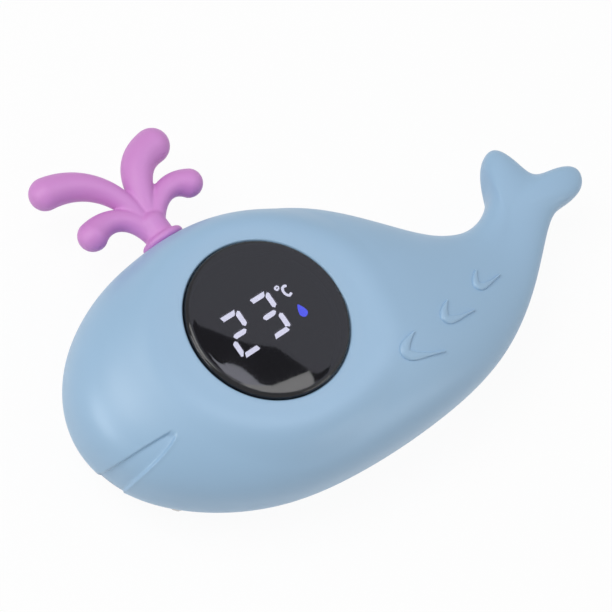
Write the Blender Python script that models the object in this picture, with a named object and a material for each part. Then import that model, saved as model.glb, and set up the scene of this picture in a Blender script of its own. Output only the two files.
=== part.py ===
"""Baby bath thermometer shaped like a whale.

The body is two plastic shells that meet on a flat parting plane below the
widest outline, so that no seam shows from above. A round lens covers a two
digit display, a soft four-jet spout plugs into the top edge, and the back
holds a battery bay, a steel probe and two water contacts.

The object lies on its flat back at z = 0, with its head at -X, its tail at +X,
its spout at +Y and its display facing +Z. The display's axis is x = y = 0.
"""

from math import atan2, ceil, cos, hypot, pi, radians, sin

import bmesh
import bpy
import numpy as np
from mathutils import Vector
from mathutils.bvhtree import BVHTree

MM = 0.001

# Clearances
GAP = 0.3 * MM
WELL_GAP = 0.12 * MM
OVERCUT = 1.0 * MM
MERGE_DISTANCE = 0.004 * MM
SHARP_ANGLE = radians(32)

# The body's outline in plan, as the control points of a closed cubic B-spline
OUTLINE = [
    (81.2, 12.8), (83.9, 6.1), (84.6, 0.3), (91.1, 0.3), (97.4, -2.1), (94.4, -7.9),
    (87.4, -8.4), (82.4, -8.6), (68.3, -21.9), (49.9, -32.6), (29.6, -35.6), (9.2, -36.4),
    (-11.5, -34.5), (-29.5, -26.3), (-42.8, -14.2), (-47.0, 1.3), (-40.4, 15.9), (-26.0, 26.4),
    (-6.4, 30.5), (14.7, 27.5), (32.4, 20.0), (48.7, 2.9), (55.8, -1.1), (61.4, -2.8),
    (67.9, -1.6), (73.7, 2.3), (74.9, 8.8),
]
SAMPLES_PER_POINT = 40
STATIONS_PER_POINT = 3
RIM_STATION_STEP = 2
SKIN_RINGS = 8
CAVITY_RINGS = 5

# The spine that the skin's sections run to, as a cubic Bezier from the display to the fluke
SPINE = [(0.0, 0.0), (26.0, -4.0), (52.0, -24.0), (74.0, -3.0)]
SPINE_FROM = -5.0 * MM
SPINE_TO = 86.0 * MM

# Heights of the skin above and below the widest outline
BACK_DEPTH = 16.0 * MM
HEAD_RISE = 18.3 * MM
HEAD_DROP = 20.0 * MM
FLUKE_HALF = 4.8 * MM
FULLNESS = 1.3
FRONT_POWER = 2.6
BACK_POWER = 2.4
FLAT_BLEND = 1.0 * MM

# Walls
WALL = 2.0 * MM
PARTING_DROP = 7.0 * MM
CAVITY_END = 66.0 * MM
CAVITY_ROUNDING = 10.0 * MM
SEAL_END = 54.0 * MM
RIM_RIB_HEIGHT = 5.0 * MM
RIM_RIB_IN = 4.4 * MM
SEAL_OUT = 2.2 * MM
SEAL_WIDTH = 0.8 * MM
SEAL_HEIGHT = 0.7 * MM

# Display lens, its seat and its gasket
LENS_RADIUS = 18.8 * MM
LENS_EDGE_THICKNESS = 2.2 * MM
LENS_CROWN = 0.4 * MM
LENS_EDGE_ROUND = 1.2 * MM
LENS_PROUD = 1.0 * MM
RIM_RISE = 16.2 * MM
RIM_BLEND_FROM = 21.5 * MM
RIM_BLEND_TO = 32.0 * MM
LEDGE_RADIUS = 16.8 * MM
LEDGE_THICKNESS = 2.0 * MM
LEDGE_WALL = 2.0 * MM
GASKET_THICKNESS = 0.4 * MM
GASKET_INSET = 0.4 * MM
GASKET_WIDTH = 1.2 * MM

# Display housing and its digits
HOUSING_END_ROOM = 3.1 * MM
HOUSING_CORNER_ROOM = 0.73 * MM
HOUSING_HEIGHT = 7.0 * MM
HOUSING_CORNER = 1.0 * MM
HOUSING_Y = 0.6 * MM
LENS_AIR = 0.4 * MM
SEGMENT_THICKNESS = 0.9 * MM
DIGIT_HALF_WIDTH = 2.95 * MM
DIGIT_HALF_HEIGHT = 5.25 * MM
STROKE = 1.3 * MM
DIGIT_CENTRES = {"tens": (-6.45 * MM, 0.7 * MM), "units": (2.0 * MM, 0.95 * MM)}
DIGIT_LEAN = 0.028
DIGIT_RISE = 0.035
DEGREE_CENTRE = (7.25 * MM, 5.3 * MM)
DEGREE_RADIUS = 0.65 * MM
DEGREE_STROKE = 0.35 * MM
MARK_CENTRE = (8.85 * MM, 3.7 * MM)
MARK_HALF_WIDTH = 1.1 * MM
MARK_HALF_HEIGHT = 1.45 * MM
MARK_STROKE = 0.5 * MM
DROP_CENTRE = (9.0 * MM, -2.3 * MM)
DROP_RADIUS = 0.98 * MM
DROP_TIP = 2.1 * MM

# Main board
BOARD_LENGTH = 44.0 * MM
BOARD_WIDTH = 32.0 * MM
BOARD_THICKNESS = 1.6 * MM
BOARD_CORNER = 4.0 * MM
BOARD_SCREW_X = 19.0 * MM
BOARD_SCREW_Y = 13.0 * MM
BOARD_BOSS_RADIUS = 2.5 * MM
BOARD_SCREW_SHAFT = 0.75 * MM
BOARD_SCREW_HEAD = 1.7 * MM
BOARD_SCREW_HEAD_HEIGHT = 1.2 * MM
BOARD_SCREW_LENGTH = 6.0 * MM
CHIP_SIZE = 7.0 * MM
CHIP_HEIGHT = 1.3 * MM
CHIP_CENTRE = (-9.0 * MM, 2.0 * MM)

# Battery bay
CELL_RADIUS = 5.2 * MM
CELL_LENGTH = 43.5 * MM
CELL_NUB_RADIUS = 1.9 * MM
CELL_NUB_LENGTH = 1.0 * MM
BAY_CENTRE = (0.0, -2.0 * MM)
SPRING_SPACE = 4.5 * MM
BAY_WALL = 1.4 * MM
BAY_CORNER = 2.0 * MM
PLATE_THICKNESS = 0.4 * MM
PLATE_WIDTH = 8.6 * MM
SPRING_WIRE = 0.35 * MM
SPRING_RADIUS = 2.6 * MM
SPRING_TURNS = 3.5

# Battery door, its gasket and its tab
DOOR_MARGIN = 2.6 * MM
DOOR_THICKNESS = 1.5 * MM
DOOR_CORNER = 3.0 * MM
DOOR_BEVEL = 0.3 * MM
DOOR_TAB_RADIUS = 4.6 * MM
DOOR_TAB_REACH = 3.2 * MM
DOOR_SINK = 0.7 * MM
DOOR_GASKET_THICKNESS = 0.6 * MM
DOOR_GASKET_WIDTH = 1.0 * MM
GRIP_LENGTH = 9.0 * MM
GRIP_WIDTH = 1.2 * MM
GRIP_STEP = 2.4 * MM
GRIP_DEPTH = 0.5 * MM
GRIP_COUNT = 3
GRIP_FROM_END = 4.5 * MM
BAY_FRAME_MARGIN = 4.6 * MM
BAY_FRAME_HEIGHT = 5.8 * MM

# Screws that hold the shells and the door
SCREW_SHAFT = 1.15 * MM
SCREW_HEAD = 2.4 * MM
SCREW_HEAD_HEIGHT = 1.6 * MM
SCREW_SLOT_WIDTH = 0.6 * MM
SCREW_SLOT_DEPTH = 0.6 * MM
SHELL_SCREW_REACH = 6.5 * MM
SHELL_SCREW_SINK = 3.2 * MM
BOSS_RADIUS = 3.4 * MM
SHELL_SCREWS = [(-27.0, 15.5), (-29.0, -18.5), (30.5, 11.5), (34.0, -22.0)]
DOOR_SCREW_LENGTH = 5.0 * MM

# Probe and water contacts
PROBE_CENTRE = (40.0 * MM, -9.0 * MM)
PROBE_RADIUS = 3.0 * MM
PROBE_RECESS_RADIUS = 5.6 * MM
PROBE_RECESS = 3.2 * MM
PROBE_BOSS_RADIUS = 7.4 * MM
PROBE_BOSS_HEIGHT = 6.4 * MM
PROBE_TIP = 1.5 * MM
PROBE_FLANGE = 4.6 * MM
PROBE_FLANGE_THICKNESS = 1.0 * MM
PROBE_BORE = 2.1 * MM
PROBE_RING_THICKNESS = 0.5 * MM
PROBE_CAP_FLOOR = 0.8 * MM
THERMISTOR_RADIUS = 1.5 * MM
THERMISTOR_LENGTH = 3.6 * MM
CONTACTS = [(-36.0, 1.5), (-36.0, -8.5)]
CONTACT_RECESS_RADIUS = 2.8 * MM
CONTACT_RECESS = 3.8 * MM
CONTACT_BOSS_RADIUS = 4.2 * MM
CONTACT_BOSS_HEIGHT = 7.2 * MM
CONTACT_HEAD = 2.3 * MM
CONTACT_HEAD_HEIGHT = 1.4 * MM
CONTACT_STEM = 1.0 * MM
CONTACT_STEM_REACH = 2.0 * MM

# Spout, on an axis along Y in the plane of the widest outline
SPOUT_X = -0.95 * MM
SPOUT_NECK = 2.3 * MM
SPOUT_PLUG = 3.3 * MM
SPOUT_PLUG_LENGTH = 4.2 * MM
SPOUT_FLANGE = 5.1 * MM
SPOUT_FLANGE_THICKNESS = 2.0 * MM
SPOUT_STEM = 3.45 * MM
SPOUT_STEM_TOP = 37.6 * MM
JET_SIDES = 12
JET_STEPS = 9
# Each jet: points along its middle as (x, y), and its radii from root to tip
JETS = {
    "long_left": ([(-1.7, 35.5), (-3.2, 43.5), (-8.4, 51.3), (-18.1, 53.0)], (2.5, 2.7, 3.2, 3.75)),
    "long_right": ([(-0.2, 35.5), (1.0, 44.5), (4.0, 49.6), (11.0, 51.5)], (2.4, 2.6, 3.3, 3.75)),
    "short_left": ([(-2.2, 34.2), (-4.0, 39.9), (-8.2, 41.8), (-14.2, 39.5)], (2.3, 2.3, 2.2, 3.55)),
    "short_right": ([(0.2, 34.2), (3.0, 39.5), (7.4, 42.2), (12.2, 39.6)], (2.3, 2.3, 2.1, 3.55)),
}

# Raised crescents: two ends and the bend of the line between them, and the widest width
CRESCENTS = [
    ((28.6, -18.4), (17.5, -25.6), (33.6, -25.3), 2.5),
    ((41.5, -15.6), (32.2, -21.6), (46.8, -20.5), 2.1),
    ((54.1, -12.4), (46.0, -17.0), (59.3, -15.9), 1.8),
]
CRESCENT_RISE = 0.45 * MM
CRESCENT_TIP = 0.5 * MM
CRESCENT_STEPS = 10

# Mouth: a wedge sunk between two lip lines, each a Bezier of bearings round the display
MOUTH_DEPTH = 0.85 * MM
MOUTH_LIFT_OUT = 0.2 * MM
MOUTH_LOWER_SHARE = 0.6
UPPER_LIP = (196.8, 193.0, 191.0, 189.3)
LOWER_LIP = (197.0, 201.1, 199.3, 197.8)
MOUTH_CORNER_SHARE = 0.735
MOUTH_END = 1.25
MOUTH_STEPS = 15

# Worked out from the sizes above
EQUATOR = BACK_DEPTH
PARTING = EQUATOR - PARTING_DROP
RIM_TOP = EQUATOR + RIM_RISE
LENS_TOP = RIM_TOP + LENS_PROUD
LENS_BOTTOM = LENS_TOP - LENS_EDGE_THICKNESS
GASKET_TOP = LENS_BOTTOM - GAP
LEDGE = GASKET_TOP - GASKET_THICKNESS - GAP
HOUSING_LENGTH = 2 * (LEDGE_RADIUS - HOUSING_END_ROOM)
HOUSING_REACH = (LEDGE_RADIUS - HOUSING_CORNER_ROOM) ** 2 - (HOUSING_LENGTH / 2) ** 2
HOUSING_WIDTH = 2 * (HOUSING_REACH**0.5 - HOUSING_Y)
HOUSING_TOP = LENS_BOTTOM - LENS_AIR
HOUSING_BOTTOM = HOUSING_TOP - HOUSING_HEIGHT
BOARD_TOP = HOUSING_BOTTOM - GAP
BOARD_BOTTOM = BOARD_TOP - BOARD_THICKNESS
DOOR_BOTTOM = 0.0
DOOR_TOP = DOOR_BOTTOM + DOOR_THICKNESS
DOOR_GASKET_BOTTOM = DOOR_TOP + GAP
DOOR_SEAT = DOOR_GASKET_BOTTOM + DOOR_GASKET_THICKNESS + GAP
CELL_CENTRE_Z = DOOR_GASKET_BOTTOM + CELL_RADIUS + GAP
BAY_WIDTH = 4 * CELL_RADIUS + 5 * GAP
BAY_TOP = CELL_CENTRE_Z + CELL_RADIUS + 2 * GAP
CELL_OFFSET = CELL_RADIUS + GAP
BAY_LENGTH = CELL_LENGTH + CELL_NUB_LENGTH + SPRING_SPACE + 2 * PLATE_THICKNESS + 4 * GAP


def smooth(share):
    """Eases from 0 to 1 with no slope at either end."""
    share = np.clip(share, 0.0, 1.0)
    return share * share * (3.0 - 2.0 * share)


def bezier(points, share):
    """Points of a Bezier curve of any order, by repeated halving of its legs."""
    legs = [np.asarray(point, float) for point in points]
    share = np.asarray(share, float)[..., None]
    while len(legs) > 1:
        legs = [a + (b - a) * share for a, b in zip(legs, legs[1:])]
    return legs[0]


def closed_spline(control, count):
    """Points of the closed uniform cubic B-spline over the control points."""
    control = np.asarray(control, float)
    place = np.linspace(0.0, len(control), count, endpoint=False)
    first = np.floor(place).astype(int)
    f = (place - first)[:, None]
    weights = (
        (1 - f) ** 3 / 6,
        (3 * f**3 - 6 * f**2 + 4) / 6,
        (-3 * f**3 + 3 * f**2 + 3 * f + 1) / 6,
        f**3 / 6,
    )
    return sum(w * control[(first + k - 1) % len(control)] for k, w in enumerate(weights))


def material(name, colour, roughness, metallic=0.0, alpha=1.0):
    made = bpy.data.materials.new(name)
    made.use_nodes = True
    shader = made.node_tree.nodes["Principled BSDF"]
    shader.inputs["Base Color"].default_value = (*colour, 1.0)
    shader.inputs["Roughness"].default_value = roughness
    shader.inputs["Metallic"].default_value = metallic
    shader.inputs["Alpha"].default_value = alpha
    made.diffuse_color = (*colour, alpha)
    return made


def new_object(name, mesh_maker, finish=None):
    """An object whose closed mesh is finished off with its faces pointing out."""
    bmesh.ops.remove_doubles(mesh_maker, verts=mesh_maker.verts, dist=1e-7)
    bmesh.ops.recalc_face_normals(mesh_maker, faces=mesh_maker.faces)
    mesh = bpy.data.meshes.new(name)
    mesh_maker.to_mesh(mesh)
    mesh_maker.free()
    made = bpy.data.objects.new(name, mesh)
    bpy.context.scene.collection.objects.link(made)
    if finish:
        mesh.materials.append(finish)
    mesh.shade_smooth()
    mesh.set_sharp_from_angle(angle=SHARP_ANGLE)
    return made


def loft(name, rings, finish=None, closed=False):
    """A skin over rings of points, capped at both ends or closed on itself."""
    maker = bmesh.new()
    loops = [[maker.verts.new(point) for point in ring] for ring in rings]
    pairs = list(zip(loops, loops[1:]))
    if closed:
        pairs.append((loops[-1], loops[0]))
    for a, b in pairs:
        for k in range(len(a)):
            n = (k + 1) % len(a)
            maker.faces.new((a[k], a[n], b[n], b[k]))
    if not closed:
        for loop in (loops[0], loops[-1]):
            if (loop[0].co - loop[len(loop) // 2].co).length > 1e-6:
                maker.faces.new(loop)
    return new_object(name, maker, finish)


def turned(name, profile, at=(0.0, 0.0), finish=None, sides=32, closed=False):
    """A shape turned about the upright axis through at, from (radius, height) points."""
    turn = [2 * pi * k / sides for k in range(sides)]
    rings = [[(at[0] + r * cos(a), at[1] + r * sin(a), z) for a in turn] for r, z in profile]
    return loft(name, rings, finish, closed)


def washer(name, inner, outer, low, high, at=(0.0, 0.0), finish=None, sides=40):
    profile = [(inner, low), (outer, low), (outer, high), (inner, high)]
    return turned(name, profile, at, finish, sides, closed=True)


def rounded_rectangle(length, width, radius, at=(0.0, 0.0), steps=4):
    """A counter-clockwise rectangle with round corners."""
    points = []
    for corner in range(4):
        sx = 1 if corner in (0, 3) else -1
        sy = 1 if corner in (0, 1) else -1
        for k in range(steps + 1):
            a = corner * pi / 2 + k * pi / 2 / steps
            points.append((
                at[0] + sx * (length / 2 - radius) + radius * cos(a),
                at[1] + sy * (width / 2 - radius) + radius * sin(a),
            ))
    return points


def prism(name, outline, low, high, finish=None):
    return loft(name, [[(x, y, z) for x, y in outline] for z in (low, high)], finish)


def tube_ring(name, outer, inner, low, high, finish=None):
    """An upright-walled frame between two outlines with as many points each."""
    rings = [
        [(x, y, low) for x, y in inner],
        [(x, y, low) for x, y in outer],
        [(x, y, high) for x, y in outer],
        [(x, y, high) for x, y in inner],
    ]
    return loft(name, rings, finish, closed=True)


def merge_close_corners(mesh):
    """Merges corners that a cut left almost in one place."""
    maker = bmesh.new()
    maker.from_mesh(mesh)
    bmesh.ops.remove_doubles(maker, verts=maker.verts, dist=MERGE_DISTANCE)
    bmesh.ops.dissolve_degenerate(maker, dist=MERGE_DISTANCE, edges=maker.edges)
    maker.to_mesh(mesh)
    maker.free()


def combine(target, tools, operation):
    """Cuts or joins the target with all tools at once, and clears the tools away."""
    group = bpy.data.collections.new("tools")
    for tool in tools:
        group.objects.link(tool)
    step = target.modifiers.new(operation.lower(), "BOOLEAN")
    step.operation = operation
    step.solver = "EXACT"
    step.operand_type = "COLLECTION"
    step.collection = group
    bpy.context.view_layer.update()
    graph = bpy.context.evaluated_depsgraph_get()
    mesh = bpy.data.meshes.new_from_object(target.evaluated_get(graph))
    merge_close_corners(mesh)
    mesh.set_sharp_from_angle(angle=SHARP_ANGLE)
    old = target.data
    target.modifiers.clear()
    target.data = mesh
    bpy.data.meshes.remove(old)
    bpy.data.collections.remove(group)
    for tool in tools:
        bpy.data.objects.remove(tool)
    return target


def cut(target, *tools):
    return combine(target, tools, "DIFFERENCE")


def join(target, *tools):
    return combine(target, tools, "UNION")


def copy_of(source, name):
    made = bpy.data.objects.new(name, source.data.copy())
    bpy.context.scene.collection.objects.link(made)
    return made


# The outline, and the stations that pair its upper edge with its lower edge


def outline_stations():
    """Upper and lower edge points that share their x, from the nose to the tail's tip."""
    whole = closed_spline(OUTLINE, SAMPLES_PER_POINT * len(OUTLINE)) * MM
    nose = int(np.argmin(whole[:, 0]))
    whole = np.roll(whole, -nose, axis=0)
    tip = int(np.argmax(whole[:, 0]))
    one, other = whole[: tip + 1], np.vstack([whole[tip:], whole[:1]])[::-1]
    upper, lower = (one, other) if one[:, 1].mean() > other[:, 1].mean() else (other, one)
    spread = np.linspace(0, len(upper) - 1, ceil(len(upper) / SAMPLES_PER_POINT * STATIONS_PER_POINT))
    upper = np.column_stack([np.interp(spread, range(len(upper)), upper[:, k]) for k in (0, 1)])
    upper[:, 0] = np.maximum.accumulate(upper[:, 0])
    low_y = np.interp(upper[:, 0], lower[:, 0], lower[:, 1])
    low = np.column_stack([upper[:, 0], low_y])
    low[0] = upper[0]
    low[-1] = upper[-1]
    return upper, low


UPPER, LOWER = outline_stations()
WALL_TOP = float(np.interp(SPOUT_X, UPPER[:, 0], UPPER[:, 1]))


def along(x):
    """How far along the spine the section at x meets it, from 0 to 1."""
    return smooth((x - SPINE_FROM) / (SPINE_TO - SPINE_FROM))


def middle_of(x):
    return bezier(SPINE, along(x)) * MM


def rise_at(x):
    return HEAD_RISE + (FLUKE_HALF - HEAD_RISE) * smooth(along(x) ** FULLNESS)


def drop_at(x):
    return HEAD_DROP + (FLUKE_HALF - HEAD_DROP) * smooth(along(x) ** FULLNESS)


def superellipse(share, power):
    return (1.0 - np.minimum(share, 1.0) ** power) ** (1.0 / power)


def front_height(x, plan, share):
    """Height over the equator: a swollen section, eased to a flat ring round the display."""
    height = rise_at(x) * superellipse(share, FRONT_POWER)
    away = np.hypot(plan[..., 0], plan[..., 1])
    level = 1.0 - smooth((away - RIM_BLEND_FROM) / (RIM_BLEND_TO - RIM_BLEND_FROM))
    return height + level * (RIM_RISE - height)


def back_height(x, share):
    """Depth under the equator: a swollen section with a soft cut at the flat back."""
    depth = drop_at(x) * superellipse(share, BACK_POWER)
    near = np.clip(FLAT_BLEND - np.abs(depth - BACK_DEPTH), 0.0, None)
    return np.minimum(depth, BACK_DEPTH) - near**2 / (4 * FLAT_BLEND)


def ring_shares(rings):
    """Shares of the way out from the spine, closer together towards the edge."""
    return np.sin(np.linspace(0.0, 1.0, rings + 1) * pi / 2) ** 0.9


def half_skin(maker, edge, shares, front, inset=0.0):
    """One quarter of the skin: from the spine out to one edge, above or below the equator."""
    rows = []
    for point in edge:
        x = point[0]
        middle = middle_of(x)
        reach = np.linalg.norm(point - middle)
        end = 1.0
        if inset:
            tail = np.clip((x - CAVITY_END + CAVITY_ROUNDING) / CAVITY_ROUNDING, 0.0, 1.0)
            end = np.sqrt(1.0 - tail**2)
        width = max(0.0, (reach - inset) / reach) * end
        plan = middle + (point - middle) * (shares * width)[:, None]
        if front:
            height = front_height(x, plan, shares)
        else:
            height = back_height(x, shares)
        height = np.maximum(height - inset * (height > 0), 0.0) * end if inset else height
        height[-1] = 0.0
        z = EQUATOR + (height if front else -height)
        rows.append([maker.verts.new((*p, h)) for p, h in zip(plan, z)])
    for a, b in zip(rows, rows[1:]):
        for k in range(len(shares) - 1):
            maker.faces.new((a[k], a[k + 1], b[k + 1], b[k]))


def swollen_body(name, rings, inset=0.0, finish=None):
    """The closed body inside the outline, or the cavity that keeps its wall."""
    keep = UPPER[:, 0] <= CAVITY_END if inset else np.ones(len(UPPER), bool)
    upper, lower = UPPER[keep], LOWER[keep]
    if inset:
        last = np.interp(CAVITY_END, UPPER[:, 0], UPPER[:, 1])
        low = np.interp(CAVITY_END, LOWER[:, 0], LOWER[:, 1])
        upper = np.vstack([upper, [CAVITY_END, last]])
        lower = np.vstack([lower, [CAVITY_END, low]])
    maker = bmesh.new()
    for edge in (upper, lower):
        for front in (True, False):
            half_skin(maker, edge, ring_shares(rings), front, inset)
    bmesh.ops.remove_doubles(maker, verts=maker.verts, dist=1e-6)
    return new_object(name, maker, finish)


def slab(name, low, high):
    """A block wider than the body between two heights."""
    reach = 0.2
    return prism(name, [(-reach, -reach), (reach, -reach), (reach, reach), (-reach, reach)], low, high)


def parting_loop(inset):
    """The back skin's outline on the parting plane, moved in along the sections."""
    stations = UPPER[UPPER[:, 0] < SEAL_END, 0][::RIM_STATION_STEP]
    shares = (stations - stations[0]) / (stations[-1] - stations[0])
    sides = []
    for edge in (UPPER, LOWER):
        side = []
        for x in stations[0] + shares * (SEAL_END - inset - stations[0]):
            point = np.array([x, np.interp(x, edge[:, 0], edge[:, 1])])
            middle = middle_of(x)
            share = superellipse(PARTING_DROP / drop_at(x), BACK_POWER)
            reach = np.linalg.norm(point - middle)
            side.append(tuple(middle + (point - middle) * (share - inset / reach)))
        sides.append(side)
    return sides[0] + sides[1][:0:-1]


# Front shell


def crescent(name, skin, ends):
    """A raised crescent: the space between two bends from tip to tip, laid on the skin."""
    first, bend, last, widest = (np.array(value) * MM for value in ends)
    chord = (last - first) / np.linalg.norm(last - first)
    bulge = bend - (first + last) / 2
    bulge /= np.linalg.norm(bulge)
    tip = chord * CRESCENT_TIP / 2
    steps = np.linspace(0.0, 1.0, CRESCENT_STEPS)
    outer = bezier([first - tip, bend + bulge * widest, last + tip], steps)
    inner = bezier([first + tip, bend - bulge * widest, last - tip], steps)
    section = [(-0.3, -WALL / 2), (0.22, CRESCENT_RISE), (0.78, CRESCENT_RISE), (1.3, -WALL / 2)]
    rings = []
    for one, other in zip(outer, inner):
        ring = []
        for share, lift in section:
            x, y = one + (other - one) * share
            z = skin.ray_cast(Vector((x, y, 1.0)), Vector((0, 0, -1)))[0].z
            ring.append((x, y, z + lift))
        rings.append(ring)
    return loft(name, rings)


def edge_towards(angle):
    """The outline's point at an angle round the display, on the head."""
    loop = np.vstack([UPPER, LOWER[::-1]])
    bearing = np.unwrap(np.arctan2(loop[:, 1], loop[:, 0]))
    head = loop[:, 0] < 0
    order = np.argsort(bearing[head] % (2 * pi))
    turn = (bearing[head] % (2 * pi))[order]
    reach = np.hypot(loop[head][:, 0], loop[head][:, 1])[order]
    return np.interp(angle, turn, reach)


def head_point(angle, roll, lift):
    """A point over the head's skin: roll is 0 on top, 1 at the equator and past 1 below it."""
    reach = edge_towards(angle)
    share = sin(min(roll, 2 - roll) * pi / 2)
    rise, power = (HEAD_RISE, FRONT_POWER) if roll <= 1 else (-HEAD_DROP, BACK_POWER)
    height = rise * float(superellipse(np.array(share), power))
    slope = share ** (power - 1) / reach
    steep = (abs(height / rise)) ** (power - 1) / rise
    size = hypot(slope, steep)
    out = reach * share + lift * slope / size
    return (out * cos(angle), out * sin(angle), EQUATOR + height + lift * steep / size)


def mouth_cutter():
    """A wedge of the head's own curve, from the mouth's corner round under the nose."""
    corner = 2 / pi * np.arcsin(MOUTH_CORNER_SHARE)
    rings = []
    for root in np.linspace(0.0, MOUTH_END**0.5, MOUTH_STEPS):
        step = root * root
        roll = corner + (1 - corner) * step
        top = radians(bezier([[a] for a in UPPER_LIP], [step])[0, 0])
        bottom = radians(bezier([[a] for a in LOWER_LIP], [root])[0, 0])
        left = 1.0 - smooth((step - 1.0) / (MOUTH_END - 1.0))
        sunk = MOUTH_DEPTH * left - MOUTH_LIFT_OUT * (1.0 - left)
        rings.append([
            head_point(top, roll, OVERCUT),
            head_point(top, roll, -sunk),
            head_point(bottom, roll, -sunk * MOUTH_LOWER_SHARE),
            head_point(bottom, roll, OVERCUT),
        ])
    return loft("mouth_cutter", rings)


def spout_bore(name, radius, low, high):
    """A bore along the spout's axis between two heights of y."""
    turn = [2 * pi * k / 24 for k in range(24)]
    rings = [
        [(SPOUT_X + radius * cos(a), y, EQUATOR + radius * sin(a)) for a in turn]
        for y in (low, high)
    ]
    return loft(name, rings)


def spout_cutters():
    """The neck's hole through the wall, and a flat inner face for the plug to seat on."""
    hole = spout_bore("spout_hole", SPOUT_NECK + GAP, WALL_TOP - 3 * WALL, WALL_TOP + OVERCUT)
    inner = WALL_TOP - WALL
    seat = spout_bore("plug_seat", SPOUT_PLUG + 2 * GAP, inner - SPOUT_PLUG_LENGTH, inner)
    return hole, seat


def front_boss(name, at, radius):
    return turned(name, [(radius, PARTING - OVERCUT), (radius, RIM_TOP)], at, sides=14)


def front_shell(body, cavity, finish):
    """The whole visible body: skin, lens seat, bosses, crescents and mouth."""
    shell = copy_of(body, "front_shell")
    shell.data.materials.append(finish)
    skin = BVHTree.FromObject(shell, bpy.context.evaluated_depsgraph_get())
    marks = [crescent(f"crescent_{k}", skin, ends) for k, ends in enumerate(CRESCENTS)]
    hollow = copy_of(cavity, "front_hollow")
    rib = tube_ring(
        "front_rib", parting_loop(-OVERCUT), parting_loop(RIM_RIB_IN),
        PARTING - OVERCUT, PARTING + RIM_RIB_HEIGHT / 2,
    )
    ledge = turned(
        "ledge", [(LENS_RADIUS + GAP + LEDGE_WALL, LEDGE - LEDGE_THICKNESS), (LENS_RADIUS + GAP + LEDGE_WALL, RIM_TOP)],
        sides=48,
    )
    posts = [front_boss(f"post_{k}", (x * MM, y * MM), BOSS_RADIUS) for k, (x, y) in enumerate(SHELL_SCREWS)]
    board_posts = [
        turned(f"board_post_{k}", [(BOARD_BOSS_RADIUS, BOARD_TOP + GAP), (BOARD_BOSS_RADIUS, RIM_TOP)], at, sides=12)
        for k, at in enumerate(board_screw_places())
    ]
    cut(hollow, rib, ledge, *posts, *board_posts)
    holes = [turned("opening", [(LENS_RADIUS + GAP, LEDGE), (LENS_RADIUS + GAP, RIM_TOP + 5 * MM)], sides=48)]
    holes.append(turned("window", [(LEDGE_RADIUS, LEDGE - 4 * MM), (LEDGE_RADIUS, LEDGE + OVERCUT)], sides=48))
    for k, (x, y) in enumerate(SHELL_SCREWS):
        top = PARTING + SHELL_SCREW_REACH + GAP
        radius = SCREW_SHAFT + GAP
        holes.append(turned(f"post_hole_{k}", [(radius, PARTING - OVERCUT), (radius, top)], (x * MM, y * MM), sides=12))
    for k, at in enumerate(board_screw_places()):
        radius = BOARD_SCREW_SHAFT + GAP
        top = BOARD_BOTTOM - GAP + BOARD_SCREW_LENGTH + GAP
        holes.append(turned(f"board_hole_{k}", [(radius, BOARD_TOP), (radius, top)], at, sides=12))
    groove = tube_ring(
        "groove", parting_loop(SEAL_OUT - GAP), parting_loop(SEAL_OUT + SEAL_WIDTH + GAP),
        PARTING - OVERCUT, PARTING + GAP / 2 + SEAL_HEIGHT + GAP,
    )
    join(shell, *marks)
    cut(shell, slab("below", -OVERCUT * 5, PARTING + GAP / 2), hollow, *holes, groove, *spout_cutters(), mouth_cutter())
    return shell


# Rear shell


def board_screw_places():
    return [(sx * BOARD_SCREW_X, sy * BOARD_SCREW_Y + HOUSING_Y) for sx in (-1, 1) for sy in (-1, 1)]


def bay_outline(margin, corner):
    return rounded_rectangle(BAY_LENGTH + 2 * margin, BAY_WIDTH + 2 * margin, corner, BAY_CENTRE)


def tab_centre():
    return (BAY_CENTRE[0], BAY_CENTRE[1] - BAY_WIDTH / 2 - DOOR_MARGIN - DOOR_TAB_REACH + DOOR_TAB_RADIUS / 2)


def door_shape(name, low, high, grow=0.0):
    """The door's plate with the round tab that its screw goes through."""
    plate = prism(name, bay_outline(DOOR_MARGIN + grow, DOOR_CORNER + grow), low, high)
    tab = turned("tab", [(DOOR_TAB_RADIUS + grow, low), (DOOR_TAB_RADIUS + grow, high)], tab_centre(), sides=32)
    return join(plate, tab)


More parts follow.
